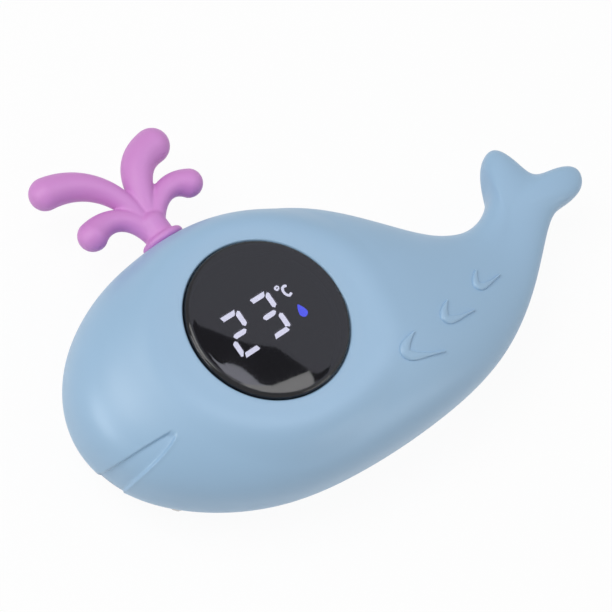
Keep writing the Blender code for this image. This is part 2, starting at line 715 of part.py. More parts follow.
def rear_shell(body, cavity, finish):
    """The back: floor, battery bay, screw towers, and the seats of probe and contacts."""
    shell = copy_of(body, "rear_shell")
    shell.data.materials.append(finish)
    cut(shell, slab("above", PARTING - GAP / 2, EQUATOR * 4))
    bay = prism("bay", bay_outline(BAY_WALL, BAY_CORNER + BAY_WALL), DOOR_SEAT + OVERCUT, BAY_TOP + BAY_WALL)
    join(shell, bay)
    hollow = copy_of(cavity, "rear_hollow")
    kept = [prism("bay_block", bay_outline(BAY_WALL, BAY_CORNER + BAY_WALL), -OVERCUT, BAY_TOP + BAY_WALL)]
    kept.append(prism("frame", bay_outline(BAY_FRAME_MARGIN, DOOR_CORNER), -OVERCUT, BAY_FRAME_HEIGHT))
    tab_radius = DOOR_TAB_RADIUS + 2 * MM
    kept.append(turned("tab_block", [(tab_radius, -OVERCUT), (tab_radius, BAY_FRAME_HEIGHT)], tab_centre()))
    kept.append(turned("probe_boss", [(PROBE_BOSS_RADIUS, -OVERCUT), (PROBE_BOSS_RADIUS, PROBE_BOSS_HEIGHT)], PROBE_CENTRE))
    for k, (x, y) in enumerate(CONTACTS):
        profile = [(CONTACT_BOSS_RADIUS, -OVERCUT), (CONTACT_BOSS_RADIUS, CONTACT_BOSS_HEIGHT)]
        kept.append(turned(f"contact_boss_{k}", profile, (x * MM, y * MM), sides=16))
    for k, (x, y) in enumerate(SHELL_SCREWS):
        profile = [(BOSS_RADIUS, -OVERCUT), (BOSS_RADIUS, PARTING + OVERCUT)]
        kept.append(turned(f"tower_{k}", profile, (x * MM, y * MM), sides=14))
    kept.append(tube_ring(
        "rear_rib", parting_loop(-OVERCUT), parting_loop(RIM_RIB_IN),
        PARTING - RIM_RIB_HEIGHT / 2, PARTING + OVERCUT,
    ))
    cut(hollow, *kept)
    holes = [prism("pocket", bay_outline(0.0, BAY_CORNER), -OVERCUT, BAY_TOP)]
    holes.append(door_shape("door_recess", -OVERCUT, DOOR_SEAT, GAP))
    holes.append(turned(
        "door_screw_hole", [(SCREW_SHAFT + GAP, 0.0), (SCREW_SHAFT + GAP, DOOR_SEAT + 2.2 * MM)], tab_centre(), sides=16,
    ))
    holes.append(turned("probe_recess", [(PROBE_RECESS_RADIUS, -OVERCUT), (PROBE_RECESS_RADIUS, PROBE_RECESS)], PROBE_CENTRE))
    holes.append(turned("probe_hole", [(PROBE_RADIUS + GAP, 0.0), (PROBE_RADIUS + GAP, PARTING)], PROBE_CENTRE))
    for k, (x, y) in enumerate(CONTACTS):
        at = (x * MM, y * MM)
        holes.append(turned(f"contact_recess_{k}", [(CONTACT_RECESS_RADIUS, -OVERCUT), (CONTACT_RECESS_RADIUS, CONTACT_RECESS)], at, sides=24))
        holes.append(turned(f"contact_hole_{k}", [(CONTACT_STEM + GAP, 0.0), (CONTACT_STEM + GAP, PARTING)], at, sides=12))
    for k, (x, y) in enumerate(SHELL_SCREWS):
        at = (x * MM, y * MM)
        sink = SHELL_SCREW_SINK + SCREW_HEAD_HEIGHT + GAP
        holes.append(turned(f"screw_sink_{k}", [(SCREW_HEAD + GAP, -OVERCUT), (SCREW_HEAD + GAP, sink)], at, sides=24))
        holes.append(turned(f"screw_hole_{k}", [(SCREW_SHAFT + GAP, 0.0), (SCREW_SHAFT + GAP, PARTING + OVERCUT)], at, sides=12))
    cut(shell, hollow, *holes)
    return shell


def shell_seal(finish):
    """The soft cord that lies in the front shell's groove, on the rear shell's rim."""
    low = PARTING - GAP / 2 + GAP
    outer = parting_loop(SEAL_OUT)
    inner = parting_loop(SEAL_OUT + SEAL_WIDTH)
    return tube_ring("shell_seal", outer, inner, low, low + SEAL_HEIGHT, finish)


# Lens, gasket and display


def display_lens(finish):
    """A disc with a rounded upper edge and a slightly crowned face."""
    flat = LENS_RADIUS - LENS_EDGE_ROUND
    edge = [
        (flat + LENS_EDGE_ROUND * sin(a), LENS_TOP - LENS_EDGE_ROUND * (1 - cos(a)))
        for a in np.linspace(0.0, pi / 2, 4)
    ]
    crown = [(flat * s, LENS_TOP + LENS_CROWN * (1 - s * s)) for s in (0.0, 0.4, 0.75)]
    profile = crown + edge + [(LENS_RADIUS, LENS_BOTTOM), (0.0, LENS_BOTTOM)]
    return turned("display_lens", profile, finish=finish, sides=48)


def lens_gasket(finish):
    outer = LENS_RADIUS - GASKET_INSET
    return washer("lens_gasket", outer - GASKET_WIDTH, outer, GASKET_TOP - GASKET_THICKNESS, GASKET_TOP, finish=finish)


def lean(points, at):
    """Points of a digit, leaned and lifted as the display's print is."""
    return [(at[0] + x + DIGIT_LEAN * y, at[1] + y + DIGIT_RISE * x) for x, y in points]


def segment_shapes(grow=0.0):
    """The seven segments of one digit about its centre, grown by a clearance."""
    w, h, t = DIGIT_HALF_WIDTH, DIGIT_HALF_HEIGHT, STROKE
    bar = [(-0.70 * w, h), (0.70 * w, h), (0.54 * w, h - t), (-0.54 * w, h - t)]
    side = [
        (w - t, 0.25 * h), (w - 0.55 * t, 0.14 * h), (w, 0.21 * h),
        (w, 0.82 * h), (w - 0.4 * t, 0.88 * h), (w - t, 0.71 * h),
    ]
    dash = [
        (-0.62 * w, 0.0), (-0.45 * w, t / 2), (0.45 * w, t / 2),
        (0.62 * w, 0.0), (0.45 * w, -t / 2), (-0.45 * w, -t / 2),
    ]
    flip = {
        "a": (bar, 1, 1), "b": (side, 1, 1), "c": (side, 1, -1), "d": (bar, 1, -1),
        "e": (side, -1, -1), "f": (side, -1, 1), "g": (dash, 1, 1),
    }
    shapes = {}
    for letter, (points, sx, sy) in flip.items():
        centre = np.mean(points, axis=0)
        grown = [p + grow * np.sign(p - centre) for p in np.asarray(points)]
        shapes[letter] = [(sx * x, sy * y) for x, y in grown]
    return shapes


def degree_outlines(grow=0.0):
    turn = np.linspace(0.0, 2 * pi, 16, endpoint=False)
    outlines = []
    for radius in (DEGREE_RADIUS + grow, DEGREE_RADIUS - DEGREE_STROKE - grow):
        outlines.append([(DEGREE_CENTRE[0] + radius * cos(a), DEGREE_CENTRE[1] + radius * sin(a)) for a in turn])
    return outlines


def mark_outline(grow=0.0):
    """The C: a stroke of even width along three quarters of an upright oval."""
    turn = np.linspace(radians(48), radians(312), 15)
    outer = [(cos(a) * (MARK_HALF_WIDTH + grow), sin(a) * (MARK_HALF_HEIGHT + grow)) for a in turn]
    thin = MARK_STROKE + grow
    inner = [(cos(a) * (MARK_HALF_WIDTH - thin), sin(a) * (MARK_HALF_HEIGHT - thin)) for a in turn[::-1]]
    return [(MARK_CENTRE[0] + x, MARK_CENTRE[1] + y) for x, y in outer + inner]


def drop_outline(grow=0.0):
    """A round drop whose upper half runs to a point."""
    points = []
    for a in np.linspace(-pi / 2, 3 * pi / 2, 24, endpoint=False):
        height = sin(a)
        taper = 1.0 if height < 0 else (1.0 - height) ** 0.35
        reach = DROP_RADIUS + grow
        tall = DROP_TIP + grow if height > 0 else reach
        points.append((DROP_CENTRE[0] + reach * cos(a) * taper, DROP_CENTRE[1] + tall * height))
    return points


def lit_shapes(grow=0.0):
    """Every light window of the display, by name."""
    shapes = {}
    for digit, at in DIGIT_CENTRES.items():
        for letter, points in segment_shapes(grow).items():
            shapes[f"{digit}_segment_{letter}"] = lean(points, at)
    shapes["celsius_mark"] = mark_outline(grow)
    shapes["drop_icon"] = drop_outline(grow)
    return shapes


def display_lights(white, blue):
    """The clear resin that fills each well, flush with the housing's face."""
    low, high = HOUSING_TOP - SEGMENT_THICKNESS, HOUSING_TOP
    for name, outline in lit_shapes().items():
        prism(name, outline, low, high, blue if name == "drop_icon" else white)
    tube_ring("degree_ring", *degree_outlines(), low, high, white)


def display_housing(finish):
    """A block with a well for each light."""
    outline = rounded_rectangle(HOUSING_LENGTH, HOUSING_WIDTH, HOUSING_CORNER, (0.0, HOUSING_Y))
    block = prism("display_housing", outline, HOUSING_BOTTOM, HOUSING_TOP, finish)
    floor = HOUSING_TOP - SEGMENT_THICKNESS - GAP
    wells = [
        prism(f"well_{name}", outline, floor, HOUSING_TOP + OVERCUT)
        for name, outline in lit_shapes(WELL_GAP).items()
    ]
    wells.append(tube_ring("well_ring", *degree_outlines(WELL_GAP), floor, HOUSING_TOP + OVERCUT))
    return cut(block, *wells)


# Board


def main_board(finish):
    outline = rounded_rectangle(BOARD_LENGTH, BOARD_WIDTH, BOARD_CORNER, (0.0, HOUSING_Y))
    board = prism("main_board", outline, BOARD_BOTTOM, BOARD_TOP, finish)
    radius = BOARD_SCREW_SHAFT + GAP
    holes = [
        turned(f"hole_{k}", [(radius, BOARD_BOTTOM - OVERCUT), (radius, BOARD_TOP + OVERCUT)], at, sides=12)
        for k, at in enumerate(board_screw_places())
    ]
    return cut(board, *holes)


def controller_chip(finish):
    top = BOARD_BOTTOM - GAP
    outline = rounded_rectangle(CHIP_SIZE, CHIP_SIZE, 0.3 * MM, CHIP_CENTRE, 1)
    return prism("controller_chip", outline, top - CHIP_HEIGHT, top, finish)


def screw(name, at, head_bottom, head_height, head, shaft, length, finish):
    """A screw that points up, its slotted head below."""
    top = head_bottom + head_height
    profile = [
        (0.0, head_bottom), (head * 0.8, head_bottom), (head, head_bottom + head_height * 0.3), (head, top),
        (shaft, top), (shaft, top + length - shaft), (0.0, top + length),
    ]
    made = turned(name, profile, at, finish, sides=12)
    slot = prism(
        "slot", rounded_rectangle(head * 3, SCREW_SLOT_WIDTH, 0.05 * MM, at, 1),
        head_bottom - OVERCUT, head_bottom + min(SCREW_SLOT_DEPTH, head_height / 2),
    )
    return cut(made, slot)


def board_screws(finish):
    for k, at in enumerate(board_screw_places()):
        head_bottom = BOARD_BOTTOM - GAP - BOARD_SCREW_HEAD_HEIGHT
        screw(
            f"board_screw_{k + 1}", at, head_bottom, BOARD_SCREW_HEAD_HEIGHT, BOARD_SCREW_HEAD,
            BOARD_SCREW_SHAFT, BOARD_SCREW_LENGTH - GAP, finish,
        )


def shell_screws(finish):
    for k, (x, y) in enumerate(SHELL_SCREWS):
        head_top = SHELL_SCREW_SINK + SCREW_HEAD_HEIGHT
        screw(
            f"shell_screw_{k + 1}", (x * MM, y * MM), SHELL_SCREW_SINK, SCREW_HEAD_HEIGHT, SCREW_HEAD,
            SCREW_SHAFT, PARTING + SHELL_SCREW_REACH - head_top, finish,
        )


# Battery bay


def cell_places():
    """Centre line and direction of each cell: its nub points along +X or -X."""
    return [(BAY_CENTRE[1] + CELL_OFFSET, 1), (BAY_CENTRE[1] - CELL_OFFSET, -1)]


def lying(profile, y, way, start, sides=20):
    """Rings of a shape turned about a line along X through the cells' height."""
    turn = [2 * pi * k / sides for k in range(sides)]
    return [
        [(start + way * x, y + r * cos(a), CELL_CENTRE_Z + r * sin(a)) for a in turn]
        for r, x in profile
    ]


def cells(finish):
    """Each cell leaves a plate's room at its nub, and the spring's room at its flat end."""
    flat_end = BAY_LENGTH / 2 - PLATE_THICKNESS - 2 * GAP - SPRING_SPACE
    edge = 0.5 * MM
    profile = [
        (0.0, 0.0), (CELL_RADIUS - edge, 0.0), (CELL_RADIUS, edge), (CELL_RADIUS, CELL_LENGTH - edge),
        (CELL_RADIUS - edge, CELL_LENGTH), (CELL_NUB_RADIUS, CELL_LENGTH),
        (CELL_NUB_RADIUS, CELL_LENGTH + CELL_NUB_LENGTH), (0.0, CELL_LENGTH + CELL_NUB_LENGTH),
    ]
    for k, (y, way) in enumerate(cell_places()):
        loft(f"battery_cell_{k + 1}", lying(profile, y, way, BAY_CENTRE[0] - way * flat_end), finish)


def plate(name, side, y, width, finish):
    """A flat contact that stands against one end wall of the bay."""
    wall = BAY_CENTRE[0] + side * (BAY_LENGTH / 2 - GAP)
    x = sorted((wall, wall - side * PLATE_THICKNESS))
    outline = [(x[0], y - width / 2), (x[1], y - width / 2), (x[1], y + width / 2), (x[0], y + width / 2)]
    half = PLATE_WIDTH / 2
    return prism(name, outline, CELL_CENTRE_Z - half, CELL_CENTRE_Z + half, finish)


def contact_spring(name, side, y, finish):
    """A coil between its plate and the flat end of a cell."""
    start = BAY_LENGTH / 2 - PLATE_THICKNESS - 2 * GAP - SPRING_WIRE
    length = SPRING_SPACE - 2 * SPRING_WIRE - GAP
    steps = int(SPRING_TURNS * 9)
    rings = []
    for k in range(steps + 1):
        a = 2 * pi * SPRING_TURNS * k / steps
        radius = SPRING_RADIUS * (1.0 - 0.25 * k / steps)
        x = BAY_CENTRE[0] + side * (start - length * k / steps)
        ring = []
        for corner in range(5):
            b = 2 * pi * corner / 5
            out = radius + SPRING_WIRE * cos(b)
            ring.append((x + side * SPRING_WIRE * sin(b), y + out * cos(a), CELL_CENTRE_Z + out * sin(a)))
        rings.append(ring)
    return loft(name, rings, finish)


def bay_contacts(finish):
    first, second = (y for y, _ in cell_places())
    plate("negative_plate", -1, first, PLATE_WIDTH, finish)
    plate("positive_plate", -1, second, PLATE_WIDTH, finish)
    plate("bridge_plate", 1, BAY_CENTRE[1], 2 * CELL_OFFSET + PLATE_WIDTH, finish)
    contact_spring("battery_spring_1", -1, first, finish)
    contact_spring("battery_spring_2", 1, second, finish)


def battery_door(finish):
    """The flush door, with a bevelled edge and a sunk hole for its screw."""
    door = door_shape("battery_door", DOOR_BOTTOM, DOOR_TOP)
    door.data.materials.append(finish)
    hole = turned("hole", [(SCREW_SHAFT + GAP, -OVERCUT), (SCREW_SHAFT + GAP, DOOR_TOP + OVERCUT)], tab_centre(), sides=16)
    sink = turned("sink", [(SCREW_HEAD + GAP, -OVERCUT), (SCREW_HEAD + GAP, DOOR_BOTTOM + DOOR_SINK)], tab_centre(), sides=24)
    grips = []
    for k in range(GRIP_COUNT):
        x = BAY_CENTRE[0] - BAY_LENGTH / 2 + GRIP_FROM_END + (k - (GRIP_COUNT - 1) / 2) * GRIP_STEP
        outline = rounded_rectangle(GRIP_WIDTH, GRIP_LENGTH, GRIP_WIDTH * 0.4, (x, BAY_CENTRE[1]), 3)
        grips.append(prism(f"grip_{k}", outline, -OVERCUT, DOOR_BOTTOM + GRIP_DEPTH))
    return cut(door, hole, sink, *grips)


def door_gasket(finish):
    return tube_ring(
        "door_gasket", bay_outline(DOOR_GASKET_WIDTH + GAP, BAY_CORNER + DOOR_GASKET_WIDTH),
        bay_outline(GAP, BAY_CORNER), DOOR_GASKET_BOTTOM, DOOR_GASKET_BOTTOM + DOOR_GASKET_THICKNESS, finish,
    )


def door_screw(finish):
    height = DOOR_SINK - GAP
    return screw(
        "door_screw", tab_centre(), DOOR_BOTTOM, height, SCREW_HEAD, SCREW_SHAFT,
        DOOR_SEAT + 2.2 * MM - GAP - DOOR_BOTTOM - height, finish,
    )


# Probe and water contacts


def probe_cap(finish):
    """A steel cup whose round end reaches the water, with a flange inside the shell."""
    flange_low = PROBE_BOSS_HEIGHT + 2 * GAP + PROBE_RING_THICKNESS
    flange_top = flange_low + PROBE_FLANGE_THICKNESS
    dome = [
        (PROBE_RADIUS * sin(a), PROBE_TIP + PROBE_RADIUS * 0.6 * (1 - cos(a)))
        for a in np.linspace(0.0, pi / 2, 7)
    ]
    bore_floor = PROBE_TIP + PROBE_CAP_FLOOR
    profile = dome + [
        (PROBE_RADIUS, flange_low), (PROBE_FLANGE, flange_low), (PROBE_FLANGE, flange_top),
        (PROBE_BORE, flange_top), (PROBE_BORE, bore_floor + 1.0 * MM), (0.0, bore_floor),
    ]
    return turned("probe_cap", profile, PROBE_CENTRE, finish, sides=24)


def probe_ring(finish):
    low = PROBE_BOSS_HEIGHT + GAP
    return washer(
        "probe_ring", PROBE_RADIUS + GAP, PROBE_FLANGE - GAP, low, low + PROBE_RING_THICKNESS,
        PROBE_CENTRE, finish, sides=24,
    )


def thermistor(finish):
    """A small bead at the bottom of the cap."""
    low = PROBE_TIP + PROBE_CAP_FLOOR + 1.0 * MM + GAP
    high = low + THERMISTOR_LENGTH
    r = THERMISTOR_RADIUS
    profile = [(r * sin(a), low + r * (1 - cos(a))) for a in np.linspace(0.0, pi / 2, 4)]
    profile += [(r * cos(a), high - r + r * sin(a)) for a in np.linspace(0.0, pi / 2, 4)]
    return turned("thermistor", profile, PROBE_CENTRE, finish, sides=12)


def water_contacts(finish):
    for k, (x, y) in enumerate(CONTACTS):
        seat = CONTACT_RECESS - GAP
        low = seat - CONTACT_HEAD_HEIGHT
        dome = [
            (CONTACT_HEAD * sin(a), low + CONTACT_HEAD_HEIGHT * 0.6 * (1 - cos(a)))
            for a in np.linspace(0.0, pi / 2, 5)
        ]
        top = CONTACT_BOSS_HEIGHT + CONTACT_STEM_REACH
        profile = dome + [(CONTACT_HEAD, seat), (CONTACT_STEM, seat), (CONTACT_STEM, top), (0.0, top)]
        turned(f"water_contact_{k + 1}", profile, (x * MM, y * MM), finish, sides=16)


# Spout


def spout_turned(name, profile, finish=None, sides=20):
    """A shape turned about the spout's axis, from (radius, y) points."""
    turn = [2 * pi * k / sides for k in range(sides)]
    rings = [[(SPOUT_X + r * cos(a), y, EQUATOR + r * sin(a)) for a in turn] for r, y in profile]
    return loft(name, rings, finish)


def jet(name, points, radii):
    """A round arm that swells towards its rounded tip, along a bent line."""
    steps = np.linspace(0.0, 1.0, JET_STEPS)
    line = bezier([np.array(p) * MM for p in points], steps)
    thick = bezier([[r] for r in radii], steps)[:, 0] * MM
    way = np.gradient(line, axis=0)
    way /= np.linalg.norm(way, axis=1)[:, None]
    stations = [(p, w, r) for p, w, r in zip(line, way, thick)]
    tip, last, size = stations[-1]
    for a in np.linspace(pi / 10, pi / 2, 5):
        stations.append((tip + last * size * sin(a), last, size * cos(a)))
    rings = []
    for point, forward, radius in stations:
        across = np.array([-forward[1], forward[0]])
        ring = []
        for k in range(JET_SIDES):
            a = 2 * pi * k / JET_SIDES
            x, y = point + across * radius * cos(a)
            ring.append((x, y, EQUATOR + radius * sin(a)))
        rings.append(ring)
    return loft(name, rings)


def spout(finish):
    """Plug, neck, flange and stem turned in one, joined with four jets."""
    seat = WALL_TOP + GAP
    inside = WALL_TOP - WALL - GAP
    top = seat + SPOUT_FLANGE_THICKNESS
    bead = SPOUT_FLANGE_THICKNESS / 2
    profile = [(0.0, inside - SPOUT_PLUG_LENGTH), (SPOUT_NECK * 0.8, inside - SPOUT_PLUG_LENGTH)]
    profile += [(SPOUT_PLUG, inside - 0.6 * MM), (SPOUT_PLUG, inside), (SPOUT_NECK, inside), (SPOUT_NECK, seat)]
    profile += [
        (SPOUT_FLANGE - bead + bead * cos(a), seat + bead + bead * sin(a))
        for a in np.linspace(-pi / 2, pi / 2, 7)
    ]
    stem_top = SPOUT_STEM_TOP - SPOUT_STEM * 0.6
    profile += [(SPOUT_STEM, top)]
    profile += [
        (SPOUT_STEM * cos(a), stem_top + SPOUT_STEM * 0.6 * sin(a))
        for a in np.linspace(0.0, pi / 2, 6)
    ]
    made = spout_turned("spout", profile, finish)
    return join(made, *[jet(f"jet_{name}", *shape) for name, shape in JETS.items()])


def build():
    for old in list(bpy.data.objects):
        bpy.data.objects.remove(old)
    blue_body = material("whale_blue", (0.337, 0.515, 0.680), 0.42)
    orchid = material("spout_orchid", (0.610, 0.262, 0.645), 0.5)
    smoked = material("smoked_lens", (0.012, 0.012, 0.014), 0.08)
    black = material("black_plastic", (0.015, 0.015, 0.017), 0.45)
    white = material("lit_segment", (0.85, 0.85, 1.0), 0.4)
    drop_blue = material("lit_drop", (0.12, 0.16, 0.95), 0.4)
    silicone = material("grey_silicone", (0.45, 0.45, 0.47), 0.6)
    board_green = material("board_green", (0.03, 0.16, 0.07), 0.5)
    chip_black = material("chip_black", (0.02, 0.02, 0.02), 0.6)
    steel = material("stainless_steel", (0.62, 0.61, 0.60), 0.25, 1.0)
    nickel = material("nickel_strip", (0.66, 0.63, 0.56), 0.3, 1.0)
    cell_wrap = material("cell_wrap", (0.08, 0.20, 0.30), 0.35)
    amber = material("thermistor_glass", (0.30, 0.12, 0.03), 0.2)

    body = swollen_body("body", SKIN_RINGS)
    cavity = swollen_body("cavity", CAVITY_RINGS, WALL)
    front_shell(body, cavity, blue_body)
    rear_shell(body, cavity, blue_body)
    for helper in (body, cavity):
        bpy.data.objects.remove(helper)
    shell_seal(silicone)
    display_lens(smoked)
    lens_gasket(black)
    display_housing(black)
    display_lights(white, drop_blue)
    main_board(board_green)
    controller_chip(chip_black)
    board_screws(steel)
    shell_screws(steel)
    cells(cell_wrap)
    bay_contacts(nickel)
    battery_door(blue_body)
    door_gasket(silicone)
    door_screw(steel)
    probe_cap(steel)
    probe_ring(silicone)
    thermistor(amber)
    water_contacts(steel)
    spout(orchid)


build()
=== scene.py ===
# %% [markdown]
# # A bath thermometer shaped like a whale
#
# This lesson dresses a finished CAD model of a floating bath thermometer. The CAD holds
# every piece at its right place: two body shells, a round lens over a two digit display,
# a soft fountain spout, and the battery bay, probe and contacts on the back. What it lacks
# is what a camera sees: smooth skins, soft edges, and finishes that answer to light.
#
# Each step first says what a piece is on the real object and how it could be made, and
# then makes it. The model loads as a frame that nothing here moves.

from math import cos, pi, radians, sin

import bmesh
import bpy
import numpy as np
from mathutils import Matrix, Vector


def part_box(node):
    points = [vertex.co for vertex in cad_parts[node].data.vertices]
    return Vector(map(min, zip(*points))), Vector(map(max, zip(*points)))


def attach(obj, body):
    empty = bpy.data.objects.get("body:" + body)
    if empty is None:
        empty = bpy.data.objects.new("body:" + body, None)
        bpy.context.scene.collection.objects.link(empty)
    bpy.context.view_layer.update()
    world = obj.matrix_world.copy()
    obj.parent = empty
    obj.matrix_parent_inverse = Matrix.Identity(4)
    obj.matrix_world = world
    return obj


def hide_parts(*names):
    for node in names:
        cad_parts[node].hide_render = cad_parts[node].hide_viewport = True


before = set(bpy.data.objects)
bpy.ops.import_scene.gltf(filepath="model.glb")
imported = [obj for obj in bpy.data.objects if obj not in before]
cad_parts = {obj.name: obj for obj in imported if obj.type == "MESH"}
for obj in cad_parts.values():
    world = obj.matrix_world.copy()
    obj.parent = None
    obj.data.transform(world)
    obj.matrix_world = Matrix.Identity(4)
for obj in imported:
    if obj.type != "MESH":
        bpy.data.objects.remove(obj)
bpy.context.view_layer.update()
MM = 0.001

# %% [markdown]
# ## Shader maths as Python
#
# A finish is a small program: noise goes in, colour and roughness come out. Wiring Math
# nodes by hand hides the formula, so one class wraps a socket and gives it Python's own
# operators. Writing 0.3 + 0.1 * noise then adds the nodes that say so. Colours never
# pass through a Math node, which would turn them grey: they are mixed instead.

# %% A socket with arithmetic, and a finish that makes nodes


class Value:
    """One output socket of a finish's nodes, with arithmetic that adds Math nodes."""

    def __init__(self, finish, socket):
        self.finish = finish
        self.socket = socket

    def math(self, operation, *others):
        return self.finish.node("ShaderNodeMath", self, *others, operation=operation)

    def __add__(self, other):
        return self.math("ADD", other)

    __radd__ = __add__

    def __rsub__(self, other):
        return self.finish.node("ShaderNodeMath", other, self, operation="SUBTRACT")

    def __mul__(self, other):
        return self.math("MULTIPLY", other)

    __rmul__ = __mul__

    def between(self, low, high):
        """0 below low, 1 above high, and eased in between."""
        return self.finish.node(
            "ShaderNodeMapRange", self, low, high, 0.0, 1.0, interpolation_type="SMOOTHSTEP"
        )


class Finish:
    """A material on the Principled shader, with one method that adds any other node."""

    def __init__(self, name, colour=None, **constants):
        self.material = bpy.data.materials.new(name)
        self.material.use_nodes = True
        self.nodes = self.material.node_tree.nodes
        self.links = self.material.node_tree.links
        self.shader = self.nodes["Principled BSDF"]
        if colour:
            self.shader.inputs["Base Color"].default_value = (*colour, 1.0)
        for place, value in constants.items():
            self.shader.inputs[place.replace("_", " ")].default_value = value

    def fill(self, socket, value):
        """Links a Value or sets a plain number, tuple or vector."""
        if isinstance(value, Value):
            self.links.new(value.socket, socket)
        elif isinstance(value, tuple) and len(value) == 3 and socket.type == "RGBA":
            socket.default_value = (*value, 1.0)
        else:
            socket.default_value = value

    def node(self, kind, *values, output=0, inputs=None, **settings):
        """Adds a node: its settings first, then its inputs by order or by name."""
        made = self.nodes.new(kind)
        for name, value in settings.items():
            setattr(made, name, value)
        for socket, value in zip(made.inputs, values):
            self.fill(socket, value)
        for name, value in (inputs or {}).items():
            self.fill(made.inputs[name], value)
        return Value(self, made.outputs[output])

    def place(self, scale=1.0):
        """Object coordinates in millimetres, stretched by scale."""
        where = self.node("ShaderNodeTexCoord", output=3)
        return self.node("ShaderNodeVectorMath", where, (1000.0 * scale,) * 3, operation="MULTIPLY")

    def noise(self, size, detail=2.0):
        """Soft noise whose blotches are about size millimetres wide."""
        return self.node(
            "ShaderNodeTexNoise",
            inputs={"Vector": self.place(1.0 / size), "Scale": 1.0, "Detail": detail},
        )

    def blend(self, share, first, second):
        """A colour between first and second."""
        made = self.nodes.new("ShaderNodeMix")
        made.data_type = "RGBA"
        for socket, value in ((0, share), (6, first), (7, second)):
            self.fill(made.inputs[socket], value)
        return Value(self, made.outputs[2])

    def drive(self, **places):
        """Links values to the shader's sockets by name."""
        for place, value in places.items():
            self.fill(self.shader.inputs[place.replace("_", " ")], value)
        return self

    def bumps(self, height, distance, strength=1.0):
        """Tilts the surface by a height in Object units of distance."""
        bump = self.node(
            "ShaderNodeBump", inputs={"Strength": strength, "Distance": distance, "Height": height}
        )
        return self.drive(Normal=bump)


print("finishes will be written as arithmetic")

# %% [markdown]
# ## Surfaces as arrays
#
# A moulded skin is a smooth function of two numbers: how far round the part, and how far
# across it. Its points are worked out as whole arrays and put into a mesh as a grid of
# quads. Subdividing a box would give no control over the outline, and sculpting could not
# be repeated, so the formula is the model.

# %% Turning grids of points into meshes
WELD = 0.001 * MM
BOOLEAN_WELD = 0.0005 * MM
SHADE_ANGLE = 40


def grid_faces(rows, columns, closed=False):
    """Quads between neighbours of a rows by columns grid, row-major, closed round if asked."""
    row = np.arange(rows - 1)[:, None]
    column = np.arange(columns if closed else columns - 1)[None, :]
    after = (column + 1) % columns
    here, below = row * columns, (row + 1) * columns
    corners = (here + column, here + after, below + after, below + column)
    return np.stack(corners, -1).reshape(-1, 4)


def object_from(name, parts):
    """One object from several (points, faces) parts, welded and facing outwards."""
    points, faces, start = [], [], 0
    for part_points, part_faces in parts:
        points.append(part_points.reshape(-1, 3))
        faces += (part_faces + start).tolist()
        start += len(points[-1])
    mesh = bpy.data.meshes.new(name)
    mesh.from_pydata(np.concatenate(points), [], faces)
    return finish_mesh(name, mesh)


def shade(mesh, angle=SHADE_ANGLE):
    """Shades smooth, and sharp where faces meet at more than the angle in degrees."""
    mesh.shade_smooth()
    mesh.set_sharp_from_angle(angle=radians(angle))


def paint(made, finish):
    """Gives an object one material and no other."""
    made.data.materials.clear()
    made.data.materials.append(finish)


def finish_mesh(name, mesh, angle=SHADE_ANGLE):
    """Welds doubles, turns faces outwards and shades smooth up to an angle."""
    work = bmesh.new()
    work.from_mesh(mesh)
    bmesh.ops.remove_doubles(work, verts=work.verts, dist=WELD)
    bmesh.ops.dissolve_degenerate(work, edges=work.edges, dist=WELD)
    bmesh.ops.recalc_face_normals(work, faces=work.faces)
    open_edges = sum(not edge.is_manifold for edge in work.edges)
    work.to_mesh(mesh)
    work.free()
    shade(mesh, angle)
    made = bpy.data.objects.new(name, mesh)
    bpy.context.scene.collection.objects.link(made)
    print(name, len(mesh.polygons), "faces,", open_edges, "open edges")
    return made


def turned(name, profile, centre=(0.0, 0.0), count=96, axis="z", level=0.0):
    """A profile of (radius, height) turned round an upright axis, or one along y."""
    radius, height = np.array(profile, float).T
    angle = np.linspace(0, 2 * pi, count, endpoint=False)
    across = radius[:, None] * np.cos(angle)
    over = radius[:, None] * np.sin(angle)
    heights = np.repeat(height[:, None], count, axis=1)
    if axis == "z":
        points = np.stack([centre[0] + across, centre[1] + over, heights], -1)
    else:
        points = np.stack([centre[0] + across, heights, level + over], -1)
    return object_from(name, [(points, grid_faces(len(points), count, closed=True))])


def combine(target, tools, operation="DIFFERENCE"):
    """Applies one exact Boolean with all the tools, and clears the tools away."""
    group = bpy.data.collections.new("tools")
    for tool in tools:
        group.objects.link(tool)
    step = target.modifiers.new("cut", "BOOLEAN")
    step.operation, step.solver = operation, "EXACT"
    step.operand_type, step.collection = "COLLECTION", group
    bpy.context.view_layer.update()
    graph = bpy.context.evaluated_depsgraph_get()
    mesh = bpy.data.meshes.new_from_object(target.evaluated_get(graph))
    target.modifiers.clear()
    work = bmesh.new()
    work.from_mesh(mesh)
    bmesh.ops.remove_doubles(work, verts=work.verts, dist=BOOLEAN_WELD)
    bmesh.ops.dissolve_degenerate(work, edges=work.edges, dist=BOOLEAN_WELD)
    open_edges = sum(not edge.is_manifold for edge in work.edges)
    print(target.name, "now holds", round(work.calc_volume() * 1e6, 2), "cubic cm,", open_edges, "open edges")
    work.to_mesh(mesh)
    work.free()
    target.data = mesh
    bpy.data.collections.remove(group)
    for tool in tools:
        bpy.data.objects.remove(tool)
    return target


print("a 3 by 4 grid has", len(grid_faces(3, 4)), "faces")

# %% [markdown]
# ## The whale's outline
#
# Seen from above, the body is one flowing line: a round head, a belly that bends into the
# tail, and a fluke with two lobes. A closed cubic B-spline gives that with few control
# points, and it cannot kink. A Bezier chain would need handles kept in line by hand.

